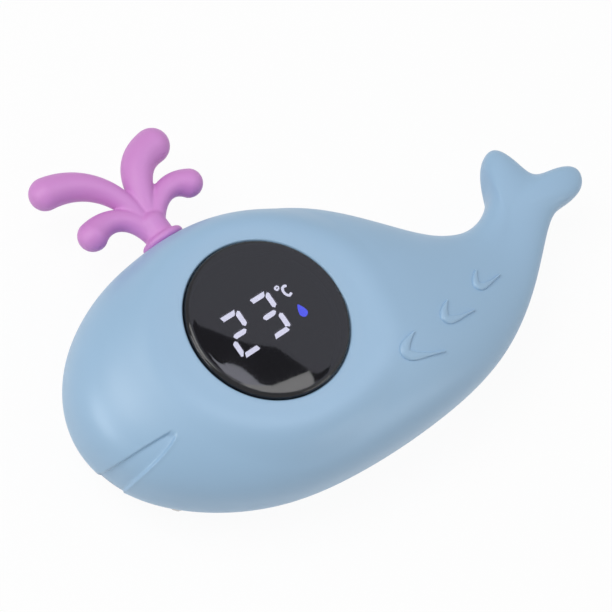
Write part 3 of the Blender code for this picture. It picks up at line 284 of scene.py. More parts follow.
# %% The outline, its nose and its tail tip
OUTLINE = [
    (81.2, 12.8), (83.9, 6.1), (84.6, 0.3), (91.1, 0.3), (97.4, -2.1), (94.4, -7.9),
    (87.4, -8.4), (82.4, -8.6), (68.3, -21.9), (49.9, -32.6), (29.6, -35.6), (9.2, -36.4),
    (-11.5, -34.5), (-29.5, -26.3), (-42.8, -14.2), (-47.0, 1.3), (-40.4, 15.9), (-26.0, 26.4),
    (-6.4, 30.5), (14.7, 27.5), (32.4, 20.0), (48.7, 2.9), (55.8, -1.1), (61.4, -2.8),
    (67.9, -1.6), (73.7, 2.3), (74.9, 8.8),
]


def closed_spline(control, count):
    """A closed uniform cubic B-spline: each point weighs its four nearest controls."""
    control = np.asarray(control, float)
    place = np.linspace(0, len(control), count, endpoint=False)
    first = np.floor(place).astype(int)
    f = (place - first)[:, None]
    weights = ((1 - f) ** 3, 3 * f**3 - 6 * f**2 + 4, -3 * f**3 + 3 * f**2 + 3 * f + 1, f**3)
    return sum(w / 6 * control[(first + k - 1) % len(control)] for k, w in enumerate(weights))


def bezier(points, share):
    """A Bezier curve of any order, by halving its legs again and again."""
    legs = [np.atleast_1d(np.asarray(point, float)) for point in points]
    share = np.asarray(share, float)[..., None]
    while len(legs) > 1:
        legs = [a + (b - a) * share for a, b in zip(legs, legs[1:])]
    return legs[0]


def smooth(share):
    """Eases from 0 to 1 with level ends."""
    share = np.clip(share, 0, 1)
    return share * share * (3 - 2 * share)


def evenly(path, count, density=None):
    """Points at even steps of length along a path, closer where density says so."""
    steps = np.linalg.norm(np.diff(path, axis=0), axis=1)
    if density is not None:
        steps = steps * density(path[1:])
    length = np.r_[0, np.cumsum(steps)]
    want = np.linspace(0, length[-1], count)
    return np.stack([np.interp(want, length, path[:, k]) for k in (0, 1)], -1)


whole = closed_spline(OUTLINE, 5400) * MM
whole = np.roll(whole, -int(np.argmin(whole[:, 0])), axis=0)
tip = int(np.argmax(whole[:, 0]))
one, other = whole[: tip + 1], np.vstack([whole[tip:], whole[:1]])[::-1]
upper_edge, lower_edge = (one, other) if one[:, 1].mean() > other[:, 1].mean() else (other, one)
print("nose", (upper_edge[0] / MM).round(1), "tail tip", (upper_edge[-1] / MM).round(1))

# %% [markdown]
# ## The swollen skin
#
# The real body is injection moulded, and its skin swells from the parting line like a
# pillow. Every section runs straight from a spine to the outline, and its height is a
# superellipse: flat on top, upright at the edge. Round the display the skin eases to a
# level ring, so that the lens has a flat seat. The same formula, with other depths,
# gives the back, which stops softly at a flat that it lies on.

# %% The skin's sizes and its formula
SPINE = np.array([(0, 0), (26, -4), (52, -24), (74, -3)]) * MM
SPINE_FROM, SPINE_TO = -5.0 * MM, 86.0 * MM
EQUATOR = 16.0 * MM
PARTING = 9.0 * MM
GAP = 0.3 * MM
WALL = 2.0 * MM
HEAD_RISE, HEAD_DROP, FLUKE_HALF = 18.3 * MM, 20.0 * MM, 4.8 * MM
FULLNESS, FRONT_POWER, BACK_POWER = 1.3, 2.6, 2.4
RIM_RISE, RIM_FROM, RIM_TO = 16.2 * MM, 21.5 * MM, 32.0 * MM
FLAT_BLEND = 1.0 * MM
CAVITY_END, CAVITY_ROUNDING = 66.0 * MM, 10.0 * MM


def along(x):
    return smooth((x - SPINE_FROM) / (SPINE_TO - SPINE_FROM))


def rise_at(x):
    return HEAD_RISE + (FLUKE_HALF - HEAD_RISE) * smooth(along(x) ** FULLNESS)


def drop_at(x):
    return HEAD_DROP + (FLUKE_HALF - HEAD_DROP) * smooth(along(x) ** FULLNESS)


def levelled(plan, height):
    """Eases a height to the lens seat's level near the display."""
    away = np.hypot(plan[..., 0], plan[..., 1])
    level = 1 - smooth((away - RIM_FROM) / (RIM_TO - RIM_FROM))
    return height + level * (RIM_RISE - height)


def upper_skin(edge, turn, inset=0.0):
    """Points over the equator. Turn runs from the spine at 0 to the edge at a right angle."""
    x = edge[:, :1]
    middle = bezier(SPINE, along(edge[:, 0]))
    share = np.sin(turn) ** (2 / FRONT_POWER)
    lean = (edge - middle)[:, None, :] * share[..., None]
    plan = middle[:, None, :] + lean * narrowed(edge, middle, inset)[:, None, None]
    height = rise_at(x) * np.cos(turn) ** (2 / FRONT_POWER)
    height = levelled(plan, height)
    height = np.maximum(height - inset, 0) * closing(x, inset)
    height[:, -1] = np.where(turn[:, -1] > pi / 2 - 1e-6, 0, height[:, -1])
    return np.concatenate([plan, EQUATOR + height[..., None]], -1)


def lower_skin(edge, turn, inset=0.0):
    """Points under the equator, stopped softly by the flat back."""
    x = edge[:, :1]
    middle = bezier(SPINE, along(edge[:, 0]))
    share = np.sin(turn) ** (2 / BACK_POWER)
    lean = (edge - middle)[:, None, :] * share[..., None]
    plan = middle[:, None, :] + lean * narrowed(edge, middle, inset)[:, None, None]
    depth = drop_at(x) * np.maximum(np.cos(turn), 0) ** (2 / BACK_POWER)
    near = np.clip(FLAT_BLEND - np.abs(depth - EQUATOR), 0, None)
    depth = np.minimum(depth, EQUATOR) - near**2 / (4 * FLAT_BLEND)
    depth = np.maximum(depth - inset, 0) * closing(x, inset)
    return np.concatenate([plan, EQUATOR - depth[..., None]], -1)


def closing(x, inset):
    """1, or for the cavity a quarter round that shuts it before the fluke."""
    if not inset:
        return np.ones_like(x)
    tail = np.clip((x - CAVITY_END + CAVITY_ROUNDING) / CAVITY_ROUNDING, 0, 1)
    return np.sqrt(1 - tail**2)


def narrowed(edge, middle, inset):
    """How much of each section's reach is left inside a wall."""
    reach = np.linalg.norm(edge - middle, axis=1)
    return np.maximum(0, 1 - inset / reach) * closing(edge[:, 0], inset)


print("the head stands", round((EQUATOR + RIM_RISE) / MM, 1), "mm high at the lens seat")

# %% [markdown]
# ## Where the columns of the skin start
#
# The lens opening is a round hole in the skin. A Boolean cut through a curved skin leaves
# slivers that shade badly, so the grid is laid to the hole instead: each column starts on
# the hole's circle, or on the spine where the spine has left the circle. The last column
# that starts on the circle closes the loop, and the seam along the spine is welded.

# %% Columns from the tail over the nose and back
LENS_RADIUS = 18.6 * MM
OPENING = LENS_RADIUS + 0.2 * MM
OPENING_ROUND = 0.5 * MM
LOOP_RADIUS = OPENING + OPENING_ROUND
TAIL_COLUMNS, UPPER_COLUMNS, LOWER_COLUMNS = 190, 170, 300
TOP_ROWS, SIDE_ROWS = 70, 12
HEAD_END = -20 * MM

candidates = np.linspace(0, 40 * MM, 4001)
outside = np.linalg.norm(bezier(SPINE, along(candidates)), axis=1) >= LOOP_RADIUS
leave_x = candidates[np.argmax(outside)]


def split(edge):
    """The head's part and the tail's part of an edge, parted where the spine leaves the circle."""
    y = np.interp(leave_x, edge[:, 0], edge[:, 1])
    head = np.vstack([edge[edge[:, 0] < leave_x], [leave_x, y]])
    tail = np.vstack([[leave_x, y], edge[edge[:, 0] > leave_x]])
    return head, tail


upper_head, upper_tail = split(upper_edge)
lower_head, lower_tail = split(lower_edge)
tail_up = evenly(upper_tail, TAIL_COLUMNS)
tail_up[:, 0] = np.maximum.accumulate(tail_up[:, 0])
tail_low = np.stack([tail_up[:, 0], np.interp(tail_up[:, 0], lower_tail[:, 0], lower_tail[:, 1])], -1)
tail_low[-1] = tail_up[-1]
head_up = evenly(upper_head, UPPER_COLUMNS)
head_low = evenly(lower_head, LOWER_COLUMNS, density=lambda at: 1 + 2.5 * (at[:, 0] < HEAD_END))
loop = np.concatenate([tail_up[::-1], head_up[::-1][1:], head_low[1:], tail_low[1:]])


def start_shares(edge):
    """Share of each column at which it leaves the circle, or 0 from the spine on."""
    middle = bezier(SPINE, along(edge[:, 0]))
    way = edge - middle
    a = (way**2).sum(1)
    b = 2 * (middle * way).sum(1)
    c = (middle**2).sum(1) - LOOP_RADIUS**2
    root = (-b + np.sqrt(np.maximum(b * b - 4 * a * c, 0))) / (2 * a)
    return np.where(c < 0, np.clip(root, 0, 1), 0.0)


starts = start_shares(loop)
print(len(loop), "columns,", int((starts > 0).sum()), "of them start on the lens opening")

# %% [markdown]
# ## The mouth
#
# The mould presses a smile into the head: a wedge between two lip lines that run from one
# corner round under the nose. The upper lip falls steeply into it, which draws a thin dark
# line, and the lower one ends in a narrow bead that catches the light. Both are heights
# added along the skin's own normal, so they bend with it. A bump map would vanish at the
# silhouette, where the mouth makes a notch.

# %% Heights of the mouth over the skin
MOUTH_DEPTH = 0.85 * MM
MOUTH_CORNER = 0.7805
UPPER_LIP = (196.9, 192.4, 191.8, 189.6)
LOWER_LIP = (197.2, 201.4, 199.3, 197.1)
BEAD_RISE, BEAD_WIDTH, BEAD_SHIFT = 0.14 * MM, 0.50 * MM, 0.15 * MM
LIP_EASE, CORNER_EASE = 0.5 * MM, 0.03


def mouth_height(plan, roll):
    """Depth between two lip lines, given as bearings by how far the skin has rolled over."""
    corner = 2 / pi * np.arcsin(MOUTH_CORNER)
    step = np.clip((roll - corner) / (1 - corner), 0, 1.25)
    bearing = np.degrees(np.arctan2(plan[..., 1], plan[..., 0])) % 360
    reach = np.hypot(plan[..., 0], plan[..., 1])
    upper = bezier(UPPER_LIP, step)[..., 0]
    lower = bezier(LOWER_LIP, np.sqrt(step))[..., 0]
    from_upper = np.radians(bearing - upper) * reach
    from_lower = np.radians(lower - bearing) * reach
    open_here = smooth((roll - corner) / CORNER_EASE)
    width = np.maximum(from_upper + from_lower, 0.1 * MM)
    inside = smooth(from_upper / LIP_EASE + 0.4) * smooth(from_lower / LIP_EASE + 0.2)
    shelf = 1 - 0.25 * np.clip(from_upper / width, 0, 1)
    fade = 1 - smooth((roll - 1.0) / 0.35)
    bead = BEAD_RISE * np.exp(-((from_lower + BEAD_SHIFT) / BEAD_WIDTH) ** 2)
    return (bead - MOUTH_DEPTH * inside * shelf) * open_here * fade


def normals_of(points):
    """Unit normals of a grid, from the cross product of its two slopes."""
    across = np.gradient(points, axis=0)
    down = np.gradient(points, axis=1)
    normal = np.cross(across, down)
    size = np.linalg.norm(normal, axis=-1, keepdims=True)
    return normal / np.maximum(size, 1e-12)


print("the mouth opens over", round(LOWER_LIP[0] - UPPER_LIP[-1], 1), "degrees round the head")

# %% [markdown]
# ## Front shell
#
# The upper moulding carries the whole visible whale, fluke included. Its grid runs from
# the opening over the top, round the edge and down to the parting plane, which lies out
# of sight below the widest line. A second grid, turned round the display, makes the
# rounded lip of the opening, its wall and the ledge under the lens.

# %% Lay the front skin
turn_in = np.arcsin(np.clip(starts, 0, 1) ** (FRONT_POWER / 2))
rows = np.linspace(0, 1, TOP_ROWS)
top_turn = turn_in[:, None] + (pi / 2 - turn_in)[:, None] * rows
top = upper_skin(loop, top_turn)
FRONT_REACH = EQUATOR - PARTING - GAP / 2


def turn_to(depth, x):
    """The turn at which the back skin has dropped by depth under the equator."""
    return np.arccos(np.clip(depth / drop_at(x), 0, 1) ** (BACK_POWER / 2))


stop = turn_to(FRONT_REACH, loop[:, 0])
side_rows = np.linspace(0, 1, SIDE_ROWS + 1)[1:]
side_turn = pi / 2 + (stop - pi / 2)[:, None] * side_rows
side = lower_skin(loop, side_turn)
skin = np.concatenate([top, side], axis=1)

top_share = np.sin(top_turn) ** (2 / FRONT_POWER)
side_share = np.sin(side_turn) ** (2 / BACK_POWER)
roll = 2 / pi * np.arcsin(np.clip(np.concatenate([top_share, side_share], 1), 0, 1))
roll[:, TOP_ROWS:] = 2 - roll[:, TOP_ROWS:]
relief = np.zeros(skin.shape[:2])
head = (skin[..., 0] < HEAD_END) & (skin[..., 1] < 0)
relief[head] = mouth_height(skin[..., :2][head], roll[head])
outward = normals_of(skin)
outward *= np.sign((outward[:, TOP_ROWS // 2, 2]).mean())
skin = skin + outward * relief[..., None]

# %% The opening's rounded lip, its wall and the lens ledge
lens_low, lens_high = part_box("display_lens")
RIM_TOP = EQUATOR + RIM_RISE
LEDGE = lens_low.z - 1.0 * MM
LEDGE_RADIUS = 16.8 * MM
LEDGE_WALL = 2.0 * MM
ring_from = TAIL_COLUMNS - 1
ring_to = ring_from + UPPER_COLUMNS + LOWER_COLUMNS - 2
ring = skin[ring_from:ring_to, 0]
bearings = np.arctan2(ring[:, 1], ring[:, 0])
bend = np.linspace(0, pi / 2, 6)[1:]
radii = np.r_[LOOP_RADIUS - OPENING_ROUND * np.sin(bend), OPENING, 0.0]
levels = np.r_[RIM_TOP - OPENING_ROUND * (1 - np.cos(bend)), LEDGE, LEDGE]
lip_rings = np.stack([
    radii[:, None] * np.cos(bearings),
    radii[:, None] * np.sin(bearings),
    np.repeat(levels[:, None], len(bearings), 1),
], -1)
seat = np.concatenate([ring[None], lip_rings])
print("the lens ledge lies at", round(LEDGE / MM, 2), "mm")

# %% Close the skin under the parting plane
reaches_plane = np.flatnonzero(stop > 0)
rim = skin[reaches_plane[0] - 1 : reaches_plane[-1] + 1, -1]
front = object_from("front_shell_skin", [
    (skin, grid_faces(*skin.shape[:2])),
    (seat, grid_faces(*seat.shape[:2], closed=True)),
    (rim, np.arange(len(rim))[None]),
])


# %% [markdown]
# ## Three crescents
#
# On the real shell three raised crescents stand on the tail like scales. Each is thick in
# its middle and runs out in two thin horns, with a flat top and steep sides. The skin's
# grid is too wide for such crisp sides, so each crescent is a small patch of its own: a
# rounded section that swells and thins while it is swept along a curve, at the skin's own
# height. A union then makes them one with the shell.

# %% The skin's height over any point of the tail
CRESCENT_RISE, CRESCENT_ROOT = 0.62 * MM, 0.8 * MM
CRESCENT_TIP, CRESCENT_WIDEST = 0.45 * MM, 2.1 * MM
CRESCENT_LINE = [40.6 - 15.8j, 31.8 - 21.2j, 42.0 - 20.6j, 45.9 - 20.5j]
CRESCENT_TIPS = [
    (27.7 - 18.6j, 32.4 - 25.5j), (40.6 - 15.8j, 45.9 - 20.5j), (53.4 - 12.5j, 58.6 - 15.9j),
]
SLOPE_STEP = 0.05 * MM


def skin_over(plan):
    """Heights of the skin over plan points between the spine and the lower edge.

    Every point lies on a section from the spine to the edge. It is found where the cross
    product of section and point changes sign, and the share along it gives the height.
    """
    edge = lower_edge[(lower_edge[:, 0] > 5 * MM) & (lower_edge[:, 0] < 80 * MM)][::6]
    middle = bezier(SPINE, along(edge[:, 0]))
    way = edge - middle
    off = plan.reshape(-1, 1, 2) - middle
    cross = way[:, 0] * off[..., 1] - way[:, 1] * off[..., 0]
    share = (off * way).sum(-1) / (way**2).sum(-1)
    flips = (cross[:, :-1] * cross[:, 1:] <= 0) & (share[:, :-1] > 0) & (share[:, :-1] < 1)
    here = flips.argmax(1)
    row = np.arange(len(here))
    part = cross[row, here] / (cross[row, here] - cross[row, here + 1])
    x = edge[here, 0] + part * (edge[here + 1, 0] - edge[here, 0])
    lies = share[row, here] + part * (share[row, here + 1] - share[row, here])
    height = rise_at(x) * (1 - np.clip(lies, 0, 1) ** FRONT_POWER) ** (1 / FRONT_POWER)
    return EQUATOR + levelled(plan, height.reshape(plan.shape[:-1]))


def crescent(name, tips, steps=90, sides=28):
    """A section, flat above and round below, swept along a curve and widest before its middle."""
    turn = (tips[1] - tips[0]) / (CRESCENT_LINE[-1] - CRESCENT_LINE[0])
    placed = [tips[0] + (point - CRESCENT_LINE[0]) * turn for point in CRESCENT_LINE]
    middle = evenly(bezier([(p.real * MM, p.imag * MM) for p in placed], np.linspace(0, 1, 400)), steps)
    way = np.gradient(middle, axis=0)
    across = np.stack([-way[:, 1], way[:, 0]], -1) / np.linalg.norm(way, axis=1)[:, None]
    share = np.linspace(0, 1, steps)
    swell = np.sin(pi * share**0.68) ** 3
    shut = np.sqrt(1 - np.abs(2 * share - 1) ** 20)
    half = (CRESCENT_TIP + (CRESCENT_WIDEST * abs(turn) - CRESCENT_TIP) * np.abs(swell)) / 2 * shut
    angle = np.linspace(0, 2 * pi, sides, endpoint=False)
    side = np.sign(np.cos(angle)) * np.abs(np.cos(angle)) ** 0.7
    tall = np.where(np.sin(angle) > 0, CRESCENT_RISE, CRESCENT_ROOT)
    lift = tall * np.sign(np.sin(angle)) * np.abs(np.sin(angle)) ** 0.85
    plan = middle[:, None] + across[:, None] * (half[:, None] * side)[..., None]
    level = skin_over(plan)
    slopes = [(skin_over(plan + way * SLOPE_STEP) - level) / SLOPE_STEP for way in np.eye(2)]
    normal = np.stack([-slopes[0], -slopes[1], np.ones_like(level)], -1)
    normal /= np.linalg.norm(normal, axis=-1, keepdims=True)
    lift = lift * np.minimum(1, shut[:, None] * 1.5)
    points = np.concatenate([plan, level[..., None]], -1) + normal * lift[..., None]
    return object_from(name, [(points, grid_faces(steps, sides, closed=True))])


raised = [crescent(f"crescent_{k}", tips) for k, tips in enumerate(CRESCENT_TIPS)]
combine(front, raised, "UNION")

# %% [markdown]
# ## Hollow and openings
#
# Both shells are two millimetre walls round one hollow, with a ledge left under the lens.
# The hollow is the body's own formula a wall further in. It is cut out together with the
# window under the lens and the hole for the spout's neck, all in one exact Boolean.

# %% The hollow inside both shells
def cavity(name, count=90, rows=16):
    """The body again, a wall's thickness further in, and shut before the fluke."""
    path = np.vstack([upper_edge[upper_edge[:, 0] < CAVITY_END], [CAVITY_END, 0]])
    path[-1, 1] = np.interp(CAVITY_END, upper_edge[:, 0], upper_edge[:, 1])
    up = evenly(path, count)
    up[:, 0] = np.maximum.accumulate(up[:, 0])
    low = np.stack([up[:, 0], np.interp(up[:, 0], lower_edge[:, 0], lower_edge[:, 1])], -1)
    low[0] = up[0]
    turn = np.repeat(np.linspace(0, pi / 2, rows)[None], count, 0)
    parts = []
    for edge in (up, low):
        for surface in (upper_skin, lower_skin):
            points = surface(edge, turn, WALL)
            parts.append((points, grid_faces(count, rows)))
    return object_from(name, parts)


def disc_cutter(name, radius, low, high, centre=(0.0, 0.0), count=96):
    return turned(name, [(0, low), (radius, low), (radius, high), (0, high)], centre, count)


def spout_bore(name, radius, low, high):
    return turned(name, [(0, low), (radius, low), (radius, high), (0, high)], (SPOUT_X, 0), 48, "y", EQUATOR)


SPOUT_X = -0.95 * MM
NECK_HOLE = 2.6 * MM
WINDOW_DEPTH = 4 * MM
WALL_TOP = float(np.interp(SPOUT_X, upper_edge[:, 0], upper_edge[:, 1]))
front_hollow = cavity("front_hollow")
ledge_ring = disc_cutter("ledge_ring", OPENING + LEDGE_WALL, LEDGE - LEDGE_WALL, RIM_TOP + MM)
combine(front_hollow, [ledge_ring])
window = disc_cutter("window", LEDGE_RADIUS, LEDGE - WINDOW_DEPTH, LEDGE + MM / 2)
neck_hole = spout_bore("neck_hole", NECK_HOLE, WALL_TOP - 3 * WALL, WALL_TOP + MM)
combine(front, [front_hollow, window, neck_hole])
shade(front.data)
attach(front, "root")
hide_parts("front_shell")
print("front shell:", len(front.data.polygons), "faces")

# %% [markdown]
# ## Rear shell
#
# The back moulding lies on its flat and carries what meets the water and the hand: the
# recess of the battery door over its bay, four sunk screw holes, the probe's recess and
# two contact cups. The same formula gives its skin, from the spine out to the parting
# plane. The recesses are crisp cuts in the real mould, so one exact Boolean sinks them,
# and towers, bosses and the rim's rib stay standing in the hollow in the same way.

# %% Sizes of the back, as in the CAD
REAR_REACH = EQUATOR - PARTING + GAP / 2
BAY_CENTRE = (0.0, -2.0 * MM)
BAY_LENGTH, BAY_WIDTH, BAY_WALL, BAY_CORNER = 51.0 * MM, 22.3 * MM, 1.4 * MM, 2.0 * MM
BAY_TOP, DOOR_SEAT = 13.1 * MM, 2.7 * MM
DOOR_MARGIN, DOOR_CORNER = 2.6 * MM, 3.0 * MM
FRAME_MARGIN, FRAME_TOP = 4.6 * MM, 5.8 * MM
TAB_CENTRE, TAB_RADIUS, TAB_MARGIN = (0.0, -16.65 * MM), 4.6 * MM, 2.0 * MM
SCREW_HOLE, DOOR_SCREW_REACH = 1.45 * MM, 2.2 * MM
PROBE_CENTRE = (40.0 * MM, -9.0 * MM)
PROBE_BOSS, PROBE_BOSS_TOP = 7.4 * MM, 6.4 * MM
PROBE_RECESS, PROBE_RECESS_TOP, PROBE_HOLE = 5.6 * MM, 3.2 * MM, 3.3 * MM
CONTACTS = [(-36.0 * MM, 1.5 * MM), (-36.0 * MM, -8.5 * MM)]
CONTACT_BOSS, CONTACT_BOSS_TOP = 4.2 * MM, 7.2 * MM
CONTACT_CUP, CONTACT_CUP_TOP, CONTACT_HOLE = 2.8 * MM, 3.8 * MM, 1.3 * MM
SHELL_SCREWS = [
    (-27.0 * MM, 15.5 * MM), (-29.0 * MM, -18.5 * MM), (30.5 * MM, 11.5 * MM), (34.0 * MM, -22.0 * MM),
]
TOWER, SCREW_SINK, SCREW_SINK_TOP = 3.4 * MM, 2.7 * MM, 5.1 * MM
RIB_END, RIB_IN, RIB_HEIGHT = 54.0 * MM, 4.4 * MM, 5.0 * MM


def rounded_block(name, margin, corner, low, high, steps=9):
    """An upright block round the bay: a rectangle with quarter circles at its corners."""
    angle = np.concatenate([np.linspace(k, k + 1, steps) * pi / 2 for k in range(4)])
    quarter = np.repeat(np.arange(4), steps)
    sign_x = np.where((quarter == 0) | (quarter == 3), 1, -1)
    sign_y = np.where(quarter < 2, 1, -1)
    x = BAY_CENTRE[0] + sign_x * (BAY_LENGTH / 2 + margin - corner) + corner * np.cos(angle)
    y = BAY_CENTRE[1] + sign_y * (BAY_WIDTH / 2 + margin - corner) + corner * np.sin(angle)
    walls = np.stack([np.stack([x, y, np.full_like(x, z)], -1) for z in (low, high)])
    count = len(x)
    caps = [(walls[k], np.arange(count)[None]) for k in (0, 1)]
    return object_from(name, [(walls, grid_faces(2, count, closed=True)), *caps])


def rib_ring(name, count=160):
    """The rib along the parting line: four loops, moved in along the sections."""
    path = evenly(upper_edge[upper_edge[:, 0] < RIB_END], count)
    share = (path[:, 0] - path[0, 0]) / (path[-1, 0] - path[0, 0])
    loops = []
    for inset in (-MM, RIB_IN):
        x = path[0, 0] + share * (RIB_END - inset - path[0, 0])
        sides = []
        for edge in (upper_edge, lower_edge):
            point = np.stack([x, np.interp(x, edge[:, 0], edge[:, 1])], -1)
            middle = bezier(SPINE, along(x))
            way = point - middle
            reach = np.linalg.norm(way, axis=1)
            share_here = np.sin(turn_to(REAR_REACH, x)) ** (2 / BACK_POWER) - inset / reach
            sides.append(middle + way * share_here[:, None])
        loops.append(np.concatenate([sides[0], sides[1][:0:-1]]))
    low, high = PARTING - RIB_HEIGHT / 2, PARTING + MM
    order = [(0, low), (1, low), (1, high), (0, high), (0, low)]
    points = np.stack([np.column_stack([loops[k], np.full(len(loops[k]), z)]) for k, z in order])
    return object_from(name, [(points, grid_faces(5, points.shape[1], closed=True))])


# %% Lay the back skin
def rear_skin(count=300, rows=48):
    """Two grids from the spine to the parting plane, shut by the flat rim between them."""
    x = upper_edge[:, 0]
    end = x[drop_at(x) > REAR_REACH].max()
    up = evenly(upper_edge[x < end], count)
    up[:, 0] = np.maximum.accumulate(up[:, 0])
    low = np.stack([up[:, 0], np.interp(up[:, 0], lower_edge[:, 0], lower_edge[:, 1])], -1)
    low[0] = up[0]
    turn = turn_to(REAR_REACH, up[:, 0])[:, None] * np.linspace(0, 1, rows)
    turn[-1] = 0
    sides = [lower_skin(edge, turn) for edge in (up, low)]
    rolled = 2 - 2 / pi * np.arcsin(np.sin(turn) ** (2 / BACK_POWER))
    chin = (sides[1][..., 0] < HEAD_END) & (sides[1][..., 1] < 0) & (rolled < 1.4)
    pressed = np.zeros(chin.shape)
    pressed[chin] = mouth_height(sides[1][..., :2][chin], rolled[chin])
    way = sides[1][..., :2] / np.maximum(np.linalg.norm(sides[1][..., :2], axis=-1, keepdims=True), MM)
    sides[1][..., :2] += way * pressed[..., None]
    rim = np.concatenate([sides[0][:, -1], sides[1][:0:-1, -1]])
    parts = [(side, grid_faces(count, rows)) for side in sides]
    return object_from("rear_shell_skin", [*parts, (rim, np.arange(len(rim))[None])])


rear = rear_skin()
bay_corner, bay_top = BAY_CORNER + BAY_WALL, BAY_TOP + BAY_WALL
combine(rear, [rounded_block("bay", BAY_WALL, bay_corner, DOOR_SEAT + MM, bay_top)], "UNION")

# %% Hollow it and sink its recesses
standing = [
    rounded_block("bay_block", BAY_WALL, bay_corner, -MM, bay_top),
    rounded_block("door_frame", FRAME_MARGIN, DOOR_CORNER, -MM, FRAME_TOP),
    disc_cutter("tab_block", TAB_RADIUS + TAB_MARGIN, -MM, FRAME_TOP, TAB_CENTRE),
    disc_cutter("probe_boss", PROBE_BOSS, -MM, PROBE_BOSS_TOP, PROBE_CENTRE),
    rib_ring("rim_rib"),
]
for k, at in enumerate(CONTACTS):
    standing.append(disc_cutter(f"contact_boss_{k}", CONTACT_BOSS, -MM, CONTACT_BOSS_TOP, at))
for k, at in enumerate(SHELL_SCREWS):
    standing.append(disc_cutter(f"tower_{k}", TOWER, -MM, PARTING + MM, at))
rear_hollow = combine(cavity("rear_hollow"), standing)
sunk = [
    rear_hollow,
    rounded_block("pocket", 0.0, BAY_CORNER, -MM, BAY_TOP),
    rounded_block("door_recess", DOOR_MARGIN + GAP, DOOR_CORNER + GAP, -MM, DOOR_SEAT),
    disc_cutter("tab_recess", TAB_RADIUS + GAP, -MM, DOOR_SEAT, TAB_CENTRE),
    disc_cutter("door_screw_hole", SCREW_HOLE, 0.0, DOOR_SEAT + DOOR_SCREW_REACH, TAB_CENTRE),
    disc_cutter("probe_recess", PROBE_RECESS, -MM, PROBE_RECESS_TOP, PROBE_CENTRE),
    disc_cutter("probe_hole", PROBE_HOLE, 0.0, PARTING, PROBE_CENTRE),
]
for k, at in enumerate(CONTACTS):
    sunk.append(disc_cutter(f"contact_cup_{k}", CONTACT_CUP, -MM, CONTACT_CUP_TOP, at))
    sunk.append(disc_cutter(f"contact_hole_{k}", CONTACT_HOLE, 0.0, PARTING, at))
for k, at in enumerate(SHELL_SCREWS):
    sunk.append(disc_cutter(f"screw_sink_{k}", SCREW_SINK, -MM, SCREW_SINK_TOP, at))
    sunk.append(disc_cutter(f"screw_hole_{k}", SCREW_HOLE, 0.0, PARTING + MM, at))
combine(rear, sunk)
shade(rear.data)
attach(rear, "root")
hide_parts("rear_shell")
print("rear shell:", len(rear.data.polygons), "faces")

# %% [markdown]
# ## The plastic of the body
#
# The shells are moulded in one light blue plastic with a fine matt texture from the
# mould. Up close such a surface is a faint orange peel with a soft, wide highlight; its
# colour drifts very slightly where the melt cooled at different speeds. Noise at three
# sizes makes all of that: wide for colour, middle for gloss, and fine for the texture.

# %% Light blue moulded plastic
BODY_BLUE = (0.337, 0.520, 0.715)


def moulded(name, colour, roughness, grain=0.25, depth=0.00001):
    """Plastic with a slow drift of colour, uneven gloss and a fine moulded grain."""
    finish = Finish(name, colour, Roughness=roughness, Specular_IOR_Level=0.5)
    drift = finish.noise(28.0)
    paler = tuple(min(1.0, c * 1.035) for c in colour)
    deeper = tuple(c * 0.965 for c in colour)
    gloss = finish.noise(3.0)
    fine = finish.noise(grain, detail=1.0)
    uneven = gloss * 0.08 + (roughness - 0.04)
    finish.drive(Base_Color=finish.blend(drift, deeper, paler), Roughness=uneven)
    finish.bumps(fine, depth, 0.6)
    return finish.material


body_plastic = moulded("body_blue_plastic", BODY_BLUE, 0.40)
for shell in (front, rear):
    paint(shell, body_plastic)
print("body plastic:", len(body_plastic.node_tree.nodes), "nodes")

# %% [markdown]
# ## The display lens
#
# A disc of tinted acrylic, bonded on a ledge and proud of the shell by a millimetre. Its
# face is slightly crowned and its upper edge rounded, which is what draws the thin bright
# line round it. One turned profile has all three. The tint lets a fifth of the light
# through, so only a lit segment shows under it.

# %% Turn the lens
LENS_ROUND = 1.2 * MM
LENS_CROWN = lens_high.z - lens_low.z - 2.2 * MM
flat = LENS_RADIUS - LENS_ROUND
crown_shares = np.linspace(0, 1, 14)
bends = np.linspace(0, pi / 2, 10)[1:]
lens_top = lens_high.z - LENS_CROWN
lens_profile = [(flat * s, lens_top + LENS_CROWN * (1 - s * s)) for s in crown_shares]
lens_profile += [(flat + LENS_ROUND * sin(a), lens_top - LENS_ROUND * (1 - cos(a))) for a in bends]
lens_profile += [(LENS_RADIUS, lens_low.z + 0.2 * MM), (LENS_RADIUS - 0.2 * MM, lens_low.z), (0, lens_low.z)]
lens = turned("display_lens_turned", lens_profile, count=160)
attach(lens, "root")
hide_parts("display_lens")

acrylic = Finish("smoked_acrylic", (0.006, 0.006, 0.009), Roughness=0.03, IOR=1.49, Alpha=0.8)
haze = acrylic.noise(6.0)
acrylic.drive(Roughness=haze * 0.02 + 0.02)
paint(lens, acrylic.material)

# %% [markdown]
# ## The lit digits
#
# Behind the lens a black block holds a well of clear resin for each segment, with a diode
# under it. The CAD has every well and every resin. A lit bar glows in a slimmer shape than
# its well, so each lit resin is drawn in from its walls. Its light wavers a little, because
# resin is never quite even.

# %% Finishes of the display
LIT = {"tens": "abged", "units": "abgcd"}
GLOW = 21.0
BAR_LENGTH, BAR_WIDTH, RING_SHARE = 0.94, 0.74, 0.84


def lit(name, colour):
    """Resin with a diode under it: its glow wavers a little along its length."""
    finish = Finish(name, (0.5, 0.5, 0.55), Roughness=0.4)
    finish.shader.inputs["Emission Strength"].default_value = GLOW
    share = finish.noise(1.2)
    dimmer = tuple(c * 0.86 for c in colour)
    finish.drive(Emission_Color=finish.blend(share, dimmer, colour))
    return finish.material


